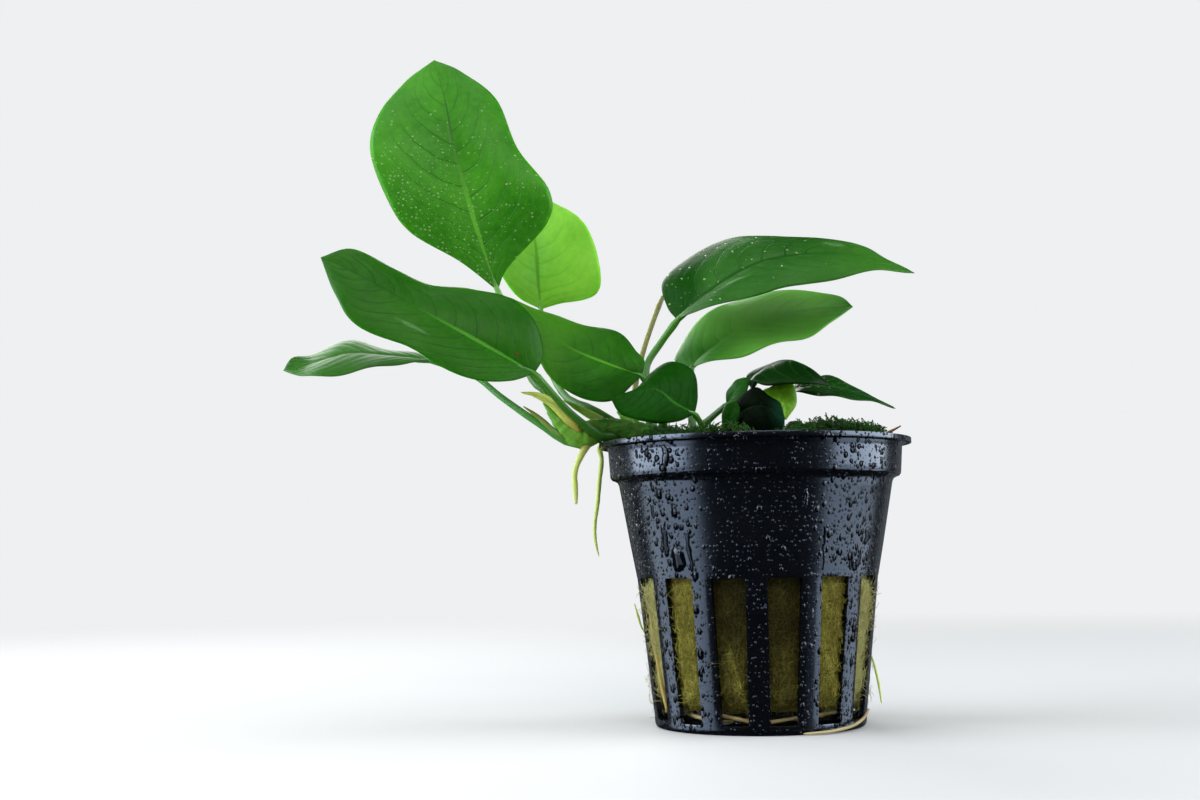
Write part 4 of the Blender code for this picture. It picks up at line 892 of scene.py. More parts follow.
def potTree(s):
    tree, given = newTree("GeometryNodeTree", "netPotSheet", {
        "Geometry": "NodeSocketGeometry", "Slots": 14, "First rib angle": 0.0, "Rib width": 0.0034,
        "Widest radius": 0.03, "Tallest height": 0.05, "Plastic": "NodeSocketMaterial"})
    pitchColumns = s["ribColumns"] + s["slotColumns"]
    grid = signal(tree, "GeometryNodeMeshGrid", {"Size X": 1.0, "Size Y": 1.0, "Vertices Y": s["rows"] + 1,
                                                 "Vertices X": s["slots"] * pitchColumns + 1})
    x, y = split(signal(tree, "GeometryNodeInputPosition"))[:2]
    turns = (x + 0.5) * given["Slots"]
    down = y + 0.5
    whole = calc("FLOOR", turns + 0.0001)
    part = turns - whole
    places = [row / s["rows"] for row, r, z in s["profile"]]
    radii = [r / s["widest"] for row, r, z in s["profile"]]
    heights = [z / s["tallest"] for row, r, z in s["profile"]]
    radius = given["Widest radius"] * curveTable(down, list(zip(places, radii)))
    height = given["Tallest height"] * curveTable(down, list(zip(places, heights)))
    lowRadius, highRadius = s["slotRadii"]
    ribRadius = calc("MAXIMUM", calc("MINIMUM", radius, highRadius * mm), lowRadius * mm)
    half = given["Rib width"] * 0.5 / ribRadius
    pitch = 2 * math.pi / given["Slots"]
    ribShare = s["ribColumns"] / pitchColumns
    isSlot = part > ribShare - 0.0001
    offset = signal(None, "ShaderNodeMix", {0: isSlot, 2: remap(part, 0.0, ribShare, half * -1.0, half),
                                            3: remap(part, ribShare, 1.0, half, pitch - half)})
    angle = whole * pitch + given["First rib angle"] + offset
    # faces that fall in a slot are marked on the flat grid, before it is wrapped round
    row = down * float(s["rows"])
    wallOpen, floorOpen = ((row > float(low)) * (row < float(high))
                           for low, high in (s["slotRows"], s["floorSlotRows"]))
    everyOther = calc("MODULO", whole, 2.0) < 0.5
    opened = calc("MAXIMUM", wallOpen, floorOpen * everyOther) * isSlot
    mark = put(tree, "GeometryNodeCaptureAttribute", domain="FACE")
    mark.capture_items.new("FLOAT", "opened")
    feed(mark, {"Geometry": grid, "opened": opened})
    wrapped = join(radius * calc("COSINE", angle), radius * calc("SINE", angle), height)
    moved = signal(tree, "GeometryNodeSetPosition",
                   {"Geometry": Signal(mark.outputs["Geometry"]), "Position": wrapped})
    cut = signal(tree, "GeometryNodeDeleteGeometry",
                 {"Geometry": moved, "Selection": Signal(mark.outputs["opened"]) > 0.5}, domain="FACE")
    merged = signal(tree, "GeometryNodeMergeByDistance", {"Geometry": cut, "Distance": 0.00002})
    return endGeometry(merged, given["Plastic"])


# Runs where beads have joined and slid down: (distance round the pot from the front, middle height,
# half length, radius), all in mm.
waterRuns = [
    (-18.6, 31.0, 1.6, 0.75), (-13.6, 29.2, 2.8, 0.5), (-16.2, 27.9, 0.5, 1.5), (9.6, 29.6, 3.2, 0.32),
    (17.8, 28.0, 0.9, 0.6), (15.6, 27.4, 0.8, 0.5), (16.9, 26.6, 0.3, 0.8), (-15.4, 44.4, 0.9, 0.62),
    (19.6, 31.4, 0.7, 0.8), (-20.5, 36.0, 0.9, 0.45), (6.0, 37.6, 1.2, 0.28),
]


def makeRunGroup():
    tree, given = newTree("ShaderNodeTree", "waterRun", {
        "Chart": "NodeSocketVector", "Across": 0.0, "Up": 0.0, "Half": 0.001, "Radius": 0.0005})
    across, up = split(given["Chart"])[:2]
    aside = across - given["Across"]
    beyond = calc("MAXIMUM", abs(up - given["Up"]) - given["Half"], 0.0)
    near = calc("SQRT", aside * aside + beyond * beyond) / given["Radius"]
    cap = calc("SUBTRACT", 1.0, near * near, clamp=True)
    return endTree(tree, {"Cap": cap, "Height": cap ** 0.5 * (given["Radius"] * 0.6)})


def makePlastic():
    # near-black moulded plastic, wet: a fine moulded skin under beads of three sizes
    finish, shader, where = newFinish("wetBlackPlastic")
    # the pot's side unrolled flat, with its join at the back
    x, y, z = split(where)
    turn = calc("ARCTAN2", x, y * -1.0)
    chart = join(turn * 0.022, z)
    tall = stretched(chart, 1.0, 0.84, 1.0)
    # a fine mist in front, and larger beads towards the sides and the back
    wide = ease(abs(turn + 0.08), 0.3, 0.62) + (grain(chart, 260.0, 2.0) * 0.8 - 0.4)
    # (cell, size, fill, wobble, relief) of the beads
    layers = [(0.0026, 0.33, remap(wide, 0.3, 1.0, 0.03, 0.9), 0.001, 0.75),
              (0.0013, 0.42, remap(wide, 0.0, 0.8, 0.1, 1.0), 0.0004, 0.8),
              (0.00064, remap(wide, 0.0, 1.0, 0.32, 0.42), remap(wide, 0.0, 1.0, 0.45, 0.85), 0.0001, 0.85)]
    drops = [use(waterBeads, Vector=tall, Cell=cell, Size=size, Fill=fill, Wobble=wobble, Relief=relief)
             for cell, size, fill, wobble, relief in layers]
    runGroup = makeRunGroup()
    bent = pushed(chart, 420.0, 2.0, 0.0016)
    for across, up, half, radius in waterRuns:
        drops.append(use(runGroup, Chart=bent, Across=across * mm, Up=up * mm, Half=half * mm,
                         Radius=radius * mm))
    mask, height = drops[0]
    for cap, rise in drops[1:]:
        mask = calc("MAXIMUM", mask, cap)
        height = calc("MAXIMUM", height, rise)
    tone = mottle(where, 60.0, 700.0)
    # water mirrors less than the plastic
    feed(shader, {"Base Color": blend(mask, blend(tone, (2, 3, 5), (6, 7, 11)), (3, 4, 7)),
                  "Roughness": mask * -0.14 + (tone * 0.05 + 0.2),
                  "Normal": bumped(height + grain(where, 2600.0) * 0.000006),
                  "Specular IOR Level": mask * remap(wide, 0.0, 1.0, -0.5, -0.76) + 0.98,
                  "Specular Tint": (0.68, 0.79, 1.0, 1.0)})
    return finish


def makePot(s):
    pot = growPiece("slottedPot", potTree(s), {
        "Slots": s["slots"], "First rib angle": s["firstRib"], "Rib width": s["ribWidth"] * mm,
        "Widest radius": s["widest"] * mm, "Tallest height": s["tallest"] * mm, "Plastic": makePlastic()})
    work = bmesh.new()
    work.from_mesh(pot.data)
    bmesh.ops.recalc_face_normals(work, faces=work.faces)
    # the widest face below the lip has to look outwards
    spots = [(f.calc_center_median(), f) for f in work.faces]
    spot, collar = max(spots, key=lambda pair: pair[0].xy.length if pair[0].z < 46 * mm else 0)
    if collar.normal.xy.dot(spot.xy) < 0:
        bmesh.ops.reverse_faces(work, faces=work.faces)
    work.to_mesh(pot.data)
    work.free()
    wall = pot.modifiers.new("wall", "SOLIDIFY")
    wall.thickness = s["wall"] * mm
    wall.offset = -1.0
    wall.use_even_offset = True
    soft = pot.modifiers.new("softEdges", "BEVEL")
    soft.width = s["edgeRounding"] * mm
    soft.segments = 2
    soft.limit_method = "ANGLE"
    soft.angle_limit = math.radians(50)
    mesh = plainMesh(pot)
    pot.modifiers.clear()
    pot.data = mesh
    mesh.shade_smooth()
    mesh.set_sharp_from_angle(angle=math.radians(40))
    register(pot, "plastic_black", "pot")
    return pot


pot = makePot(potSizes)
corners = [tuple(round(v * 1000, 2) for v in c) for c in pot.bound_box]
print("pot made,", len(pot.data.polygons), "faces, box", corners[::6])


def potInner(z):
    # inner radius of the pot's body
    points = potSizes["inside"]
    for (z0, r0), (z1, r1) in zip(points, points[1:]):
        if z <= z1:
            return r0 + (r1 - r0) * (max(z, z0) - z0) / (z1 - z0)
    return points[-1][1]


# Rock wool plug: tucked behind the ribs, swelling out through each slot, torn along the bottom.
woolShape = {
    "top": 43.6,
    "bottom": 4.9,
    "columnsPerSlot": 26,
    "rows": 110,
    "tear": 2.0,
    "hang": 3.2,                             # how much lower the torn edge hangs at the back
    "lowest": 2.4,
    "recess": {13: 1.0, 0: 1.2, 12: 0.1, 1: 0.1, 11: -0.6, 2: -0.6},   # sink at the top of a slot
    # degrees from +X at its foot, degrees per mm of height, and how far it stands out
    "flap": {"foot": 102.5, "lean": 0.8, "rise": 0.65},
    "endRings": (0.93, 0.8, 0.55, 0.25),     # share of the radius at which each end closes further
    "endLifts": (-1.5, 0.2),                 # of the bottom and the top
}


def woolPoint(s, angle, z):
    slot = math.floor((angle - potSizes["firstRib"]) / slotPitch)
    aside = abs(angle - potSizes["firstRib"] - (slot + 0.5) * slotPitch)
    spot = onCircle(19, angle, z)
    behind = potInner(min(z, 40.5)) - 0.45 - 0.25 * (0.5 + 0.5 * noise(spot * 0.4))
    (lowRadius, highRadius), (low, high) = potSizes["slotRadii"], potSizes["slotHeights"]
    outer = lowRadius + (highRadius - lowRadius) * (z - low) / (high - low)
    halfOpen = slotPitch / 2 - potSizes["ribWidth"] / 2 / max(outer, lowRadius)
    inside = (halfOpen - aside) * outer - 0.15
    share = smoothStep(0.0, 0.5, inside) * smoothStep(24.6, 22.9, z)
    sink = s["recess"].get(slot % potSizes["slots"], 0.3 * (0.5 + 0.5 * noise(Vector((slot * 3.1, 0, 0)))))
    sink *= smoothStep(8.0, 22.0, z)
    lumps = 0.6 * noise(spot * 0.42) + 0.36 * noise(spot * 1.1 + Vector((7, 0, 0)))
    streak = 0.16 * noise(Vector((spot.x * 2.2, spot.y * 2.2, z * 0.35)))
    # a torn flap stands forward beside the front rib, with its edge to the right
    off = (math.degrees(angle) + s["flap"]["foot"] + s["flap"]["lean"] * (z - s["bottom"])) * 0.33
    flap = s["flap"]["rise"] * math.exp(-(off / (0.22 if off > 0 else 1.3)) ** 2)
    flap *= smoothStep(15.5, 12.5, z)
    front = outer - 0.8 - sink + lumps * 0.7 + streak + 0.07 * noise(spot * 4.0) + flap
    front = min(front, outer - 0.12)
    return behind + (max(front, behind) - behind) * share, share


def makeWool(s, finish):
    rows, bottom = s["rows"], s["bottom"]
    columns = potSizes["slots"] * s["columnsPerSlot"]
    vertices, shares = [], []
    for row in range(rows + 1):
        z = bottom + (s["top"] - bottom) * (row / rows) ** 1.25
        for i in range(columns):
            angle = potSizes["firstRib"] + slotPitch * (i + 0.5) / s["columnsPerSlot"]
            radius, share = woolPoint(s, angle, z)
            spot = onCircle(19, angle, 0)
            tear = s["tear"] * (0.5 * noise(spot * 0.5) + 0.35 * noise(spot * 1.7) + 0.2 * noise(spot * 4.5))
            hang = s["hang"] * smoothStep(-7.0, 1.0, radius * math.sin(angle))
            height = max(z + (tear - hang) * smoothStep(bottom + 6.0, bottom, z), s["lowest"])
            radius -= 0.9 * smoothStep(bottom + 1.4, bottom, z)
            vertices.append((radius * math.cos(angle), radius * math.sin(angle), height))
            shares.append(max(share, smoothStep(bottom + 1.2, bottom, z)))
    faces = bandFaces(0, rows, columns)
    # the two ends close in rings towards the middle
    for level, end, lift in ((0, bottom, s["endLifts"][0]), (rows, s["top"], s["endLifts"][1])):
        start = level * columns
        ring = [start + i for i in range(columns)]
        for shrink in s["endRings"]:
            inner = []
            for i in range(columns):
                x, y, z = vertices[start + i]
                bump = 0.5 * noise(Vector((x * shrink * 0.3, y * shrink * 0.3, level)))
                inner.append(len(vertices))
                vertices.append((x * shrink, y * shrink, end + lift + bump))
                shares.append(0.25 if level else 0.0)
            for i in range(columns):
                j = (i + 1) % columns
                faces.append((ring[i], ring[j], inner[j], inner[i]) if level else
                             (ring[i], inner[i], inner[j], ring[j]))
            ring = inner
        middle = len(vertices)
        vertices.append((0, 0, end + lift))
        shares.append(0.0)
        for i in range(columns):
            j = (i + 1) % columns
            faces.append((ring[i], ring[j], middle) if level else (ring[i], middle, ring[j]))
    wool = newPiece("woolPlug", vertices, faces, [finish], shares=shares)
    register(wool, "rock_wool_fibre", "rock_wool")
    return wool


def strandTree(name, bends, steps=5):
    # scatters curved strands over a base mesh; "share" on the base says where they may grow. A bend is
    # the sideways place of the strand's middle and end and its rise, as shares of its length.
    tree, given = newTree("GeometryNodeTree", name, {
        "Geometry": "NodeSocketGeometry", "Density": 1e6, "Length": 0.002, "Thickness": 0.00005, "Lift": 0.25,
        "Seed": 1, "Strand finish": "NodeSocketMaterial"})
    share = signal(tree, "GeometryNodeInputNamedAttribute", {"Name": "share"}, data_type="FLOAT")
    points, normal = signal(tree, "GeometryNodeDistributePointsOnFaces",
                            {"Mesh": given["Geometry"], "Density": given["Density"] * share,
                             "Seed": given["Seed"]}, ("Points", "Normal"), distribute_method="RANDOM")
    variants = put(tree, "GeometryNodeGeometryToInstance")
    profile = signal(tree, "GeometryNodeCurvePrimitiveCircle",
                     {"Resolution": 3, "Radius": given["Thickness"]}, mode="RADIUS")
    length = given["Length"]
    taper = remap(signal(tree, "GeometryNodeSplineParameter", pick="Factor"), 0.3, 1.0, 1.0, 0.25)
    for bendA, bendB, lift in bends:
        line = signal(tree, "GeometryNodeCurveQuadraticBezier",
                      {"Resolution": steps, "Start": (0, 0, 0),
                       "Middle": join(length * 0.5, length * bendA, length * lift),
                       "End": join(length, length * bendB, length * (lift * 0.6))})
        tapered = signal(tree, "GeometryNodeSetCurveRadius", {"Curve": line, "Radius": taper})
        feed(variants, {0: signal(tree, "GeometryNodeCurveToMesh",
                                  {"Curve": tapered, "Profile Curve": profile, "Fill Caps": True})})
    # lay each strand in the surface, turned at random about its normal
    spin = signal(tree, "FunctionNodeRandomValue",
                  {0: (-0.3, -0.7, 0.0), 1: (0.3, 0.1, 2 * math.pi), "Seed": given["Seed"]},
                  data_type="FLOAT_VECTOR")
    leanX, leanY = split(vectorCalc("SCALE", spin, Scale=given["Lift"]))[:2]
    local = signal(tree, "FunctionNodeEulerToRotation", {0: join(leanX, leanY, split(spin)[2])})
    facing = signal(tree, "FunctionNodeAlignRotationToVector", {"Vector": normal}, axis="Z")
    both = signal(tree, "FunctionNodeRotateRotation", {"Rotation": facing, "Rotate By": local},
                  rotation_space="LOCAL")
    size = signal(tree, "FunctionNodeRandomValue", {2: 0.45, 3: 1.25, "Seed": 7}, 1, data_type="FLOAT")
    placed = signal(tree, "GeometryNodeInstanceOnPoints",
                    {"Points": points, "Instance": Signal(variants.outputs[0]), "Pick Instance": True,
                     "Rotation": both, "Scale": size})
    return endGeometry(placed, given["Strand finish"])


def makeSlotShadeGroup():
    # painted shade and light: the two front slots are darkened, most of all at their tops, standing in for
    # the shade there, and the outer ones lightened, standing in for the side light on them
    tree, given = newTree("ShaderNodeTree", "woolSlotShade", {"Vector": "NodeSocketVector"})
    x, y, z = split(given["Vector"])
    turn = calc("ARCTAN2", x, y * -1.0)
    off = abs(turn + 0.1)
    patchy = grain(given["Vector"], 190.0, 2.0) * 0.5 - 0.25
    level = remap(z, 0.004, 0.024, 0.6, 1.05) + patchy
    # the torn flap beside the front rib is left out of the painted shade, so it reads lit, up to its sharp
    # edge on the right
    beside = turn + (z * 13.96 + 0.1497)
    flap = ease(beside, -0.075, 0.0) * remap(beside, 0.008, 0.0) * ease(z, 0.0155, 0.0125)
    # only the sides show in the slots
    side = ease(vectorCalc("LENGTH", join(x, y), pick="Value"), 0.0145, 0.0165)
    slotShade = calc("MULTIPLY", ease(off, 0.5, 0.4), level, clamp=True) * (flap * -0.75 + 1.0)
    return endTree(tree, {"SlotShade": slotShade * side, "Pale": remap(off, 0.86, 0.94) * side})


woolSlotShade = makeSlotShadeGroup()


def makeWoolFinish():
    # matted mineral fibre, stained green by algae: crossing streaks, paler on the raised strands
    finish, shader, where = newFinish("stainedRockWool")
    upright = grain(stretched(where, 3400.0, 3400.0, 420.0), 1.0, 3.0, 0.6, 0.5)
    slant = grain(stretched(where, 3200.0, 3200.0, 500.0, (0.5, 0.6, 0.3)), 1.0, 3.0, 0.6, 0.5)
    cross = grain(stretched(where, 700.0, 700.0, 3600.0, (0.2, -0.3, 0.0)), 1.0, 2.0, 0.6, 0.4)
    weave = calc("MAXIMUM", upright, calc("MAXIMUM", slant, cross * 0.96))
    tone = mottle(where, 130.0, 520.0, 0.4)
    stain = ease(grain(stretched(where, 90.0, 90.0, 30.0), 1.0, 2.0), 0.55, 0.7)
    slotShade, pale = use(woolSlotShade, Vector=where)
    look = blend(tone, (40, 33, 5), (94, 88, 26))
    look = blend(remap(weave, 0.46, 0.72), look, (138, 132, 58))
    look = blend(stain * 0.45, look, (74, 54, 14))
    # painted light: the outer slots are lightened towards pale straw where the side light falls on them
    look = blend(pale * 0.4, look, (190, 190, 128))
    # painted shade: the front slots are darkened towards near black, most of all at their tops
    feed(shader, {"Base Color": blend(slotShade * 0.93, look, (24, 19, 2)), "Roughness": 0.95,
                  "Specular IOR Level": 0.15, "Normal": bumped(weave * 0.0007 + tone * 0.0005)})
    return finish


def makeStrandFinish(name, low, high, rough, inSlots=False):
    finish, shader, where = newFinish(name)
    tone = mottle(where, 260.0, 1400.0, 0.5)
    look = blend(tone, low, high)
    if inSlots:
        # in the slots the fibres get the same painted light on the outer slots and painted shade on the front
        # slots as the wool under them
        slotShade, pale = use(woolSlotShade, Vector=where)
        look = blend(pale * 0.3, look, (200, 200, 150))
        look = blend(slotShade * 0.86, look, (34, 28, 4))
    feed(shader, {"Base Color": look, "Roughness": calc("MULTIPLY_ADD", tone, 0.15, rough, clamp=True),
                  "Normal": bumped(grain(where, 6000.0, 2.0) * 0.00003), "Specular IOR Level": 0.12})
    return finish


def growStrands(name, tree, base, slot, finish, s):
    # density is per square millimetre of open surface
    strands = growPiece(name, tree, {
        "Density": s["density"] * 1e6, "Length": s["length"] * mm, "Thickness": s["thickness"] * mm,
        "Lift": s["lift"], "Seed": s["seed"], "Strand finish": finish}, base)
    register(strands, slot)
    print(name, "made,", len(strands.data.polygons), "faces")


woolFinish = makeWoolFinish()
fibreFinish = makeStrandFinish("paleFibre", (90, 82, 22), (168, 162, 78), 0.8, True)
wool = makeWool(woolShape, woolFinish)
print("wool made,", len(wool.data.polygons), "faces")
fibreLook = {"density": 2.7, "length": 2.2, "thickness": 0.03, "lift": 0.22, "seed": 4}
fibreTree = strandTree("woolFibres", [(0.25, -0.1, 0.22), (-0.3, 0.2, 0.12), (0.05, 0.35, 0.3)])
growStrands("woolFibres", fibreTree, wool, "rock_wool_fibre", fibreFinish, fibreLook)
fuzzLook = {"density": 5.0, "length": 1.1, "thickness": 0.018, "lift": 1.0, "seed": 9}
fuzzTree = strandTree("woolFuzz", [(0.3, -0.2, 0.3), (-0.25, 0.3, 0.2)], 3)
growStrands("woolFuzz", fuzzTree, wool, "rock_wool_fibre", fibreFinish, fuzzLook)


# Moss: a low cushion in the shape of part of a ring, with curly strands grown over it.
mossBeds = {
    "rightMoss": {"node": "moss_right", "start": -88, "sweep": 144, "radii": (12.0, 22.6), "height": 5.4,
                  "seed": 11},
    "leftMoss": {"node": "moss_left", "start": 196, "sweep": 72, "radii": (13.5, 22.4), "height": 4.6,
                 "seed": 23},
}
mossLook = {"density": 12.0, "length": 2.2, "thickness": 0.085, "lift": 1.4}


def makeMossBed(name, s, finish, steps=72, bands=14, floor=43.9):
    vertices, faces, shares = [], [], []
    for i in range(steps + 1):
        angle = math.radians(s["start"] + s["sweep"] * i / steps)
        for j in range(bands + 1):
            a, b = i / steps, j / bands
            radius = s["radii"][0] + (s["radii"][1] - s["radii"][0]) * b
            dome = min(1.0, 6 * a, 6 * (1 - a), 3.5 * b, 5 * (1 - b)) ** 0.6
            spot = onCircle(radius, angle, 3.0)
            rise = (s["height"] - 1.3) * dome + 1.1 * noise(spot * 0.3) * dome + 0.5 * noise(spot * 1.1)
            vertices.append((spot.x, spot.y, floor + max(0.05, rise)))
            shares.append((0.35 + 0.65 * dome) * (1.0 if radius < s["radii"][1] - 1.2 else 0.0))
    under = len(vertices)
    vertices += [(x, y, floor - 0.4) for x, y, z in vertices]
    shares += [0.0] * under
    wide = bands + 1
    for i in range(steps):
        for j in range(bands):
            a, b = i * wide + j, (i + 1) * wide + j
            faces.append((a, b, b + 1, a + 1))
            faces.append((under + a, under + a + 1, under + b + 1, under + b))
    rim = [i * wide for i in range(steps + 1)] + [steps * wide + j for j in range(1, wide)]
    rim += [i * wide + bands for i in range(steps - 1, -1, -1)] + [j for j in range(bands - 1, 0, -1)]
    for a, b in zip(rim, rim[1:] + rim[:1]):
        faces.append((a, b, under + b, under + a))
    bed = newPiece(name, vertices, faces, [finish], shares=shares)
    register(bed, "moss_green", s["node"])
    return bed


mossGround = makeStrandFinish("mossGround", (10, 28, 8), (24, 50, 14), 0.8)
mossStrand = makeStrandFinish("mossStrand", (5, 22, 4), (46, 88, 26), 0.7)
mossBends = [(0.35, 0.1, 0.5), (-0.4, 0.3, 0.35), (0.1, -0.4, 0.6), (0.5, 0.6, 0.25)]
mossTree = strandTree("mossStrands", mossBends)
for name, s in mossBeds.items():
    bed = makeMossBed(name, s, mossGround)
    growStrands(name + "Strands", mossTree, bed, "moss_green", mossStrand, {**mossLook, "seed": s["seed"]})


# Rhizome: a creeping green stem with ring scars where old leaves stood.
rhizomeShape = {
    "length": 41.0,
    "scarWidth": 0.22,
    "rows": 230,
    "sides": 30,
    "scars": [0.05, 0.1, 0.16, 0.21, 0.27, 0.33, 0.38, 0.45, 0.51, 0.58, 0.63, 0.7, 0.76, 0.81, 0.87, 0.92],
    # (share of the length, turn about the stem in degrees, height, width in mm)
    "buds": [(0.86, -70, 0.9, 0.9), (0.79, 40, 0.7, 0.8), (0.66, -50, 0.8, 0.8), (0.55, 80, 0.8, 0.9),
             (0.93, 200, 0.6, 0.8), (0.42, -60, 0.7, 0.8), (0.9, 20, 0.6, 0.7)],
}


def makeRhizome(route, s, finish):
    rows, sides, length = s["rows"], s["sides"], s["length"]
    spots = [smoothPoint(route, k / rows) for k in range(rows + 1)]
    centres = [p.to_3d() for p in spots]

    def ridge(k, shift):
        # 1 at each scar, or shift scar widths beyond it
        return sum(math.exp(-((k / rows - p) * length / s["scarWidth"] - shift) ** 2) for p in s["scars"])

    scars = [ridge(k, 0.0) for k in range(rows + 1)]
    grooves = [ridge(k, 1.8) for k in range(rows + 1)]

    def reach(k, i, outward):
        radius = spots[k].w
        point = centres[k] + outward * radius
        uneven = 0.14 * noise(point * 0.8) + 0.08 * noise(point * 2.4)
        lift = radius * uneven + 0.05 * scars[k] * (0.6 + 0.6 * noise(point)) - 0.05 * grooves[k]
        for share, turn, high, wide in s["buds"]:
            away = math.remainder(2 * math.pi * i / sides - math.radians(turn), 2 * math.pi)
            gap = math.hypot((k / rows - share) * length, radius * away)
            lift += high * math.exp(-(gap / wide) ** 2)
        return radius * 0.97 + lift

    vertices, faces, uvs = [], [], []
    closeTube(tubeRings(centres, sides, Vector((0, 1, 0)), reach), centres, vertices, faces, uvs)
    shares = [min(1.0, scar) for scar in scars for i in range(sides)] + [0.0, 0.0]
    piece = newPiece("creepingStem", vertices, faces, [finish], uvs, shares=shares)
    register(piece, "rhizome_green", "rhizome")


def makeRhizomeFinish():
    finish, shader, where = newFinish("rhizomeSkin")
    x, y, z = split(where)
    scar = signal(where.tree, "ShaderNodeAttribute", pick="Fac", attribute_name="share")
    tone = mottle(where, 220.0, 1100.0)
    folds = grain(stretched(where, 240.0, 900.0, 900.0), 1.0, 3.0, 0.6, 0.8)
    look = blend(remap(folds, 0.36, 0.64), (14, 52, 6), (54, 112, 20))
    # lighter along the top and on the knob at its end, browner at the scars
    look = blend(remap(z, 0.0485, 0.0515) * 0.4, look, (74, 130, 34))
    look = blend(remap(x, -0.0255, -0.0295) * 0.8, look, (104, 160, 44))
    look = blend(scar * remap(tone, 0.3, 0.8, 0.0, 0.4), look, (104, 84, 34))
    feed(shader, {"Base Color": look, "Roughness": tone * 0.2 + 0.46, "Specular IOR Level": 0.22,
                  "Normal": bumped(folds * 0.00045 + tone * 0.00012), "Subsurface Weight": 0.2, **softTissue})
    return finish


makeRhizome(rhizomeRoute, rhizomeShape, makeRhizomeFinish())
print("rhizome made")


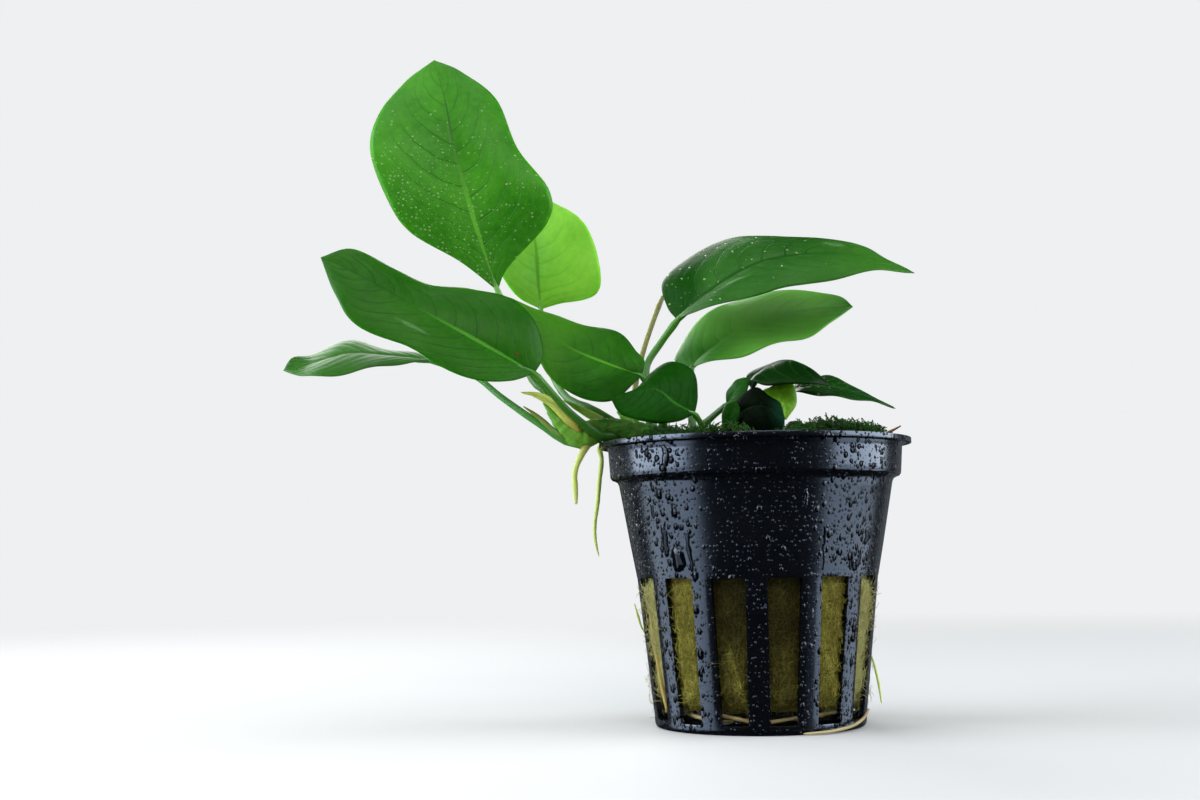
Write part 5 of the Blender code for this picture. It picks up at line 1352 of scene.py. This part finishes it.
# Young shoots, roots and the twig: piece, slot, look, roll and (x, y, z, radius) along each one. Those
# named like their piece stand for no node of the part.
stems = {
    "new_shoot": ("youngShoot", "shoot_olive", "shoot", 0.16, [(-30, -3.2, 49.8, 0.7),
        (-30.9, -3.9, 51.2, 0.98), (-32.2, -4.3, 52.7, 1), (-34.1, -4.7, 54.4, 0.78),
        (-36.7, -5.2, 55.8, 0.5), (-39.6, -5.4, 56.3, 0.1)]),
    "leaf_sheath": ("leafSheath", "rhizome_green", "sheath", 0.2, [(-31.2, -2.4, 48.4, 0.42),
        (-32.9, -3.4, 49, 0.42), (-34.4, -3.2, 50.2, 0.46), (-36.8, -2.8, 52.4, 0.38),
        (-39.3, -2.6, 54.2, 0.1)]),
    "shootSheath": ("shootSheath", "rhizome_green", "lightSheath", 0.2, [(-29.2, -1.8, 48.6, 1.5),
        (-30.8, -2.6, 49.2, 1.55), (-32.4, -3.2, 50.6, 1.25), (-34, -3.6, 52.4, 0.8),
        (-35.9, -3.7, 54.7, 0.12)]),
    "tornSheath": ("tornSheath", "root_pale", "torn", 0.3, [(-24.2, 0.6, 50.9, 0.5),
        (-26.4, 1.2, 52.2, 0.7), (-28.6, 1.7, 53.4, 0.6), (-30.6, 2, 54.5, 0.4), (-32.6, 2.4, 55.6, 0.08)]),
    "smallSheath": ("smallSheath", "rhizome_green", "lightSheath", 0.3, [(-19.8, -0.4, 49.6, 0.6),
        (-20.8, -0.8, 51, 0.75), (-22, -0.8, 52.2, 0.6), (-23.4, -0.6, 53.2, 0.08)]),
    "aerial_root_short": ("shortAerialRoot", "root_pale", "root", 0.0, [(-28.3, -1.6, 48.8, 0.95),
        (-28.6, -1.9, 47.6, 0.85), (-29.3, -1.9, 46.2, 0.6), (-30.2, -1.9, 44.4, 0.5),
        (-30.7, -1.9, 42.4, 0.48), (-30.6, -2, 39.8, 0.46), (-30.5, -2, 37.4, 0.24)]),
    "aerial_root_long": ("longAerialRoot", "root_pale", "root", 0.0, [(-23.4, 1.4, 49.9, 0.5),
        (-23.8, 2.8, 49.8, 0.45), (-24.9, 6.6, 49.1, 0.45), (-26.4, 8.6, 47.9, 0.45),
        (-26.1, 8.9, 45.5, 0.45), (-26.5, 8.4, 42, 0.42), (-26.9, 8, 38, 0.38), (-27.4, 8, 34.5, 0.32),
        (-27.4, 8, 31.5, 0.27), (-26.8, 8, 28.5, 0.12)]),
    "slotStrand": ("slotStrand", "rock_wool_fibre", "rusty", 0.2, [(-18.7, -5.6, 23.2, 0.12),
        (-18.2, -5.7, 18, 0.34), (-17.5, -5.9, 13.1, 0.4), (-16.7, -6.3, 7.3, 0.34), (-16, -7, 3.6, 0.26),
        (-16.3, -6.4, 3, 0.06)]),
    "rim_twig": ("rimTwig", "twig_brown", "twig", 0.0, [(20.2, -8.2, 47.6, 0.25), (21, -8.9, 48.1, 0.25),
        (21.8, -9.6, 48.5, 0.25), (23.3, -10.8, 49.3, 0.1)]),
    "loose_root_right": ("looseRootRight", "root_pale", "root", 0.0, [(17.9, -2.9, 12, 0.12),
        (18.65, -3.2, 10.9, 0.16), (19.3, -4.2, 7.6, 0.24), (19.6, -5.4, 3.8, 0.12)]),
    "loose_root_left": ("looseRootLeft", "root_pale", "root", 0.0, [(-18.9, 1, 15.2, 0.12),
        (-19.75, 0.6, 16.6, 0.16), (-20.3, 0.2, 18.4, 0.22), (-20.9, -0.4, 20.6, 0.08)]),
    "root_bottom_left": ("bottomRootLeft", "root_cream", "cream", 0.0, [(-13, -8.5, 3, 0.3),
        (-11.5, -10.5, 2.6, 0.35), (-8.5, -12.6, 2, 0.35), (-5.5, -13.6, 1.9, 0.25)]),
    "root_bottom_front": ("bottomRootFront", "root_cream", "cream", 0.0, [(-7.5, -14, 3, 0.3),
        (-4.6, -15, 2.4, 0.35), (-1.5, -14.9, 1.8, 0.35), (2.5, -14.6, 2.2, 0.3), (6.5, -13.8, 2.9, 0.2)]),
    "root_bottom_right": ("bottomRootRight", "root_cream", "cream", 0.0, [(2.5, -12.4, 2, 0.3),
        (6, -12.6, 2.3, 0.35), (9.5, -11.6, 2.8, 0.35), (12.6, -9.6, 3, 0.2)]),
    "root_bottom_back": ("bottomRootBack", "root_cream", "cream", 0.0, [(-11, 8, 2.4, 0.3),
        (-4, 12.5, 2, 0.35), (4, 12.8, 2, 0.35), (11, 8.6, 2.9, 0.2)]),
    "loose_root_front": ("looseRootFront", "root_cream", "cream", 0.0, [(17.1, -7.4, 3, 0.2),
        (15.8, -9.8, 1.8, 0.25), (13.3, -13.1, 0.9, 0.25), (9.2, -16.2, 0.45, 0.25),
        (5, -17.9, 0.35, 0.15)]),
}


def makeStem(node, name, slot, finish, roll, route, rows=70, sides=14):
    # a round strand; roll gives it the overlapping edge of a rolled young leaf
    spots = [smoothPoint(route, k / rows) for k in range(rows + 1)]
    centres = [p.to_3d() for p in spots]
    radii = []
    for k, spot in enumerate(spots):
        uneven = 1.0 + 0.1 * noise(centres[k] * 0.9) + 0.05 * noise(centres[k] * 3.0)
        past = max(0.0, (k / rows - 0.97) / 0.03)    # the last 3 % is rounded off
        radii.append(max(0.02, spot.w * uneven * max(math.sqrt(max(0.0, 1 - past ** 2)), 0.15)))

    def reach(k, i, outward):
        return radii[k] * (1.0 - roll + 2 * roll * ((i / sides + 0.35 * k / rows) % 1.0))

    vertices, faces, uvs = [], [], []
    closeTube(tubeRings(centres, sides, Vector((0, 1, 0.2)), reach), centres, vertices, faces, uvs)
    piece = newPiece(name, vertices, faces, [finish], uvs)
    if name == node:
        register(piece, slot)
    else:
        register(piece, slot, node)


for node, (name, slot, look, roll, route) in stems.items():
    makeStem(node, name, slot, stalkFinishes[look], roll, route)
print("shoots and roots made")
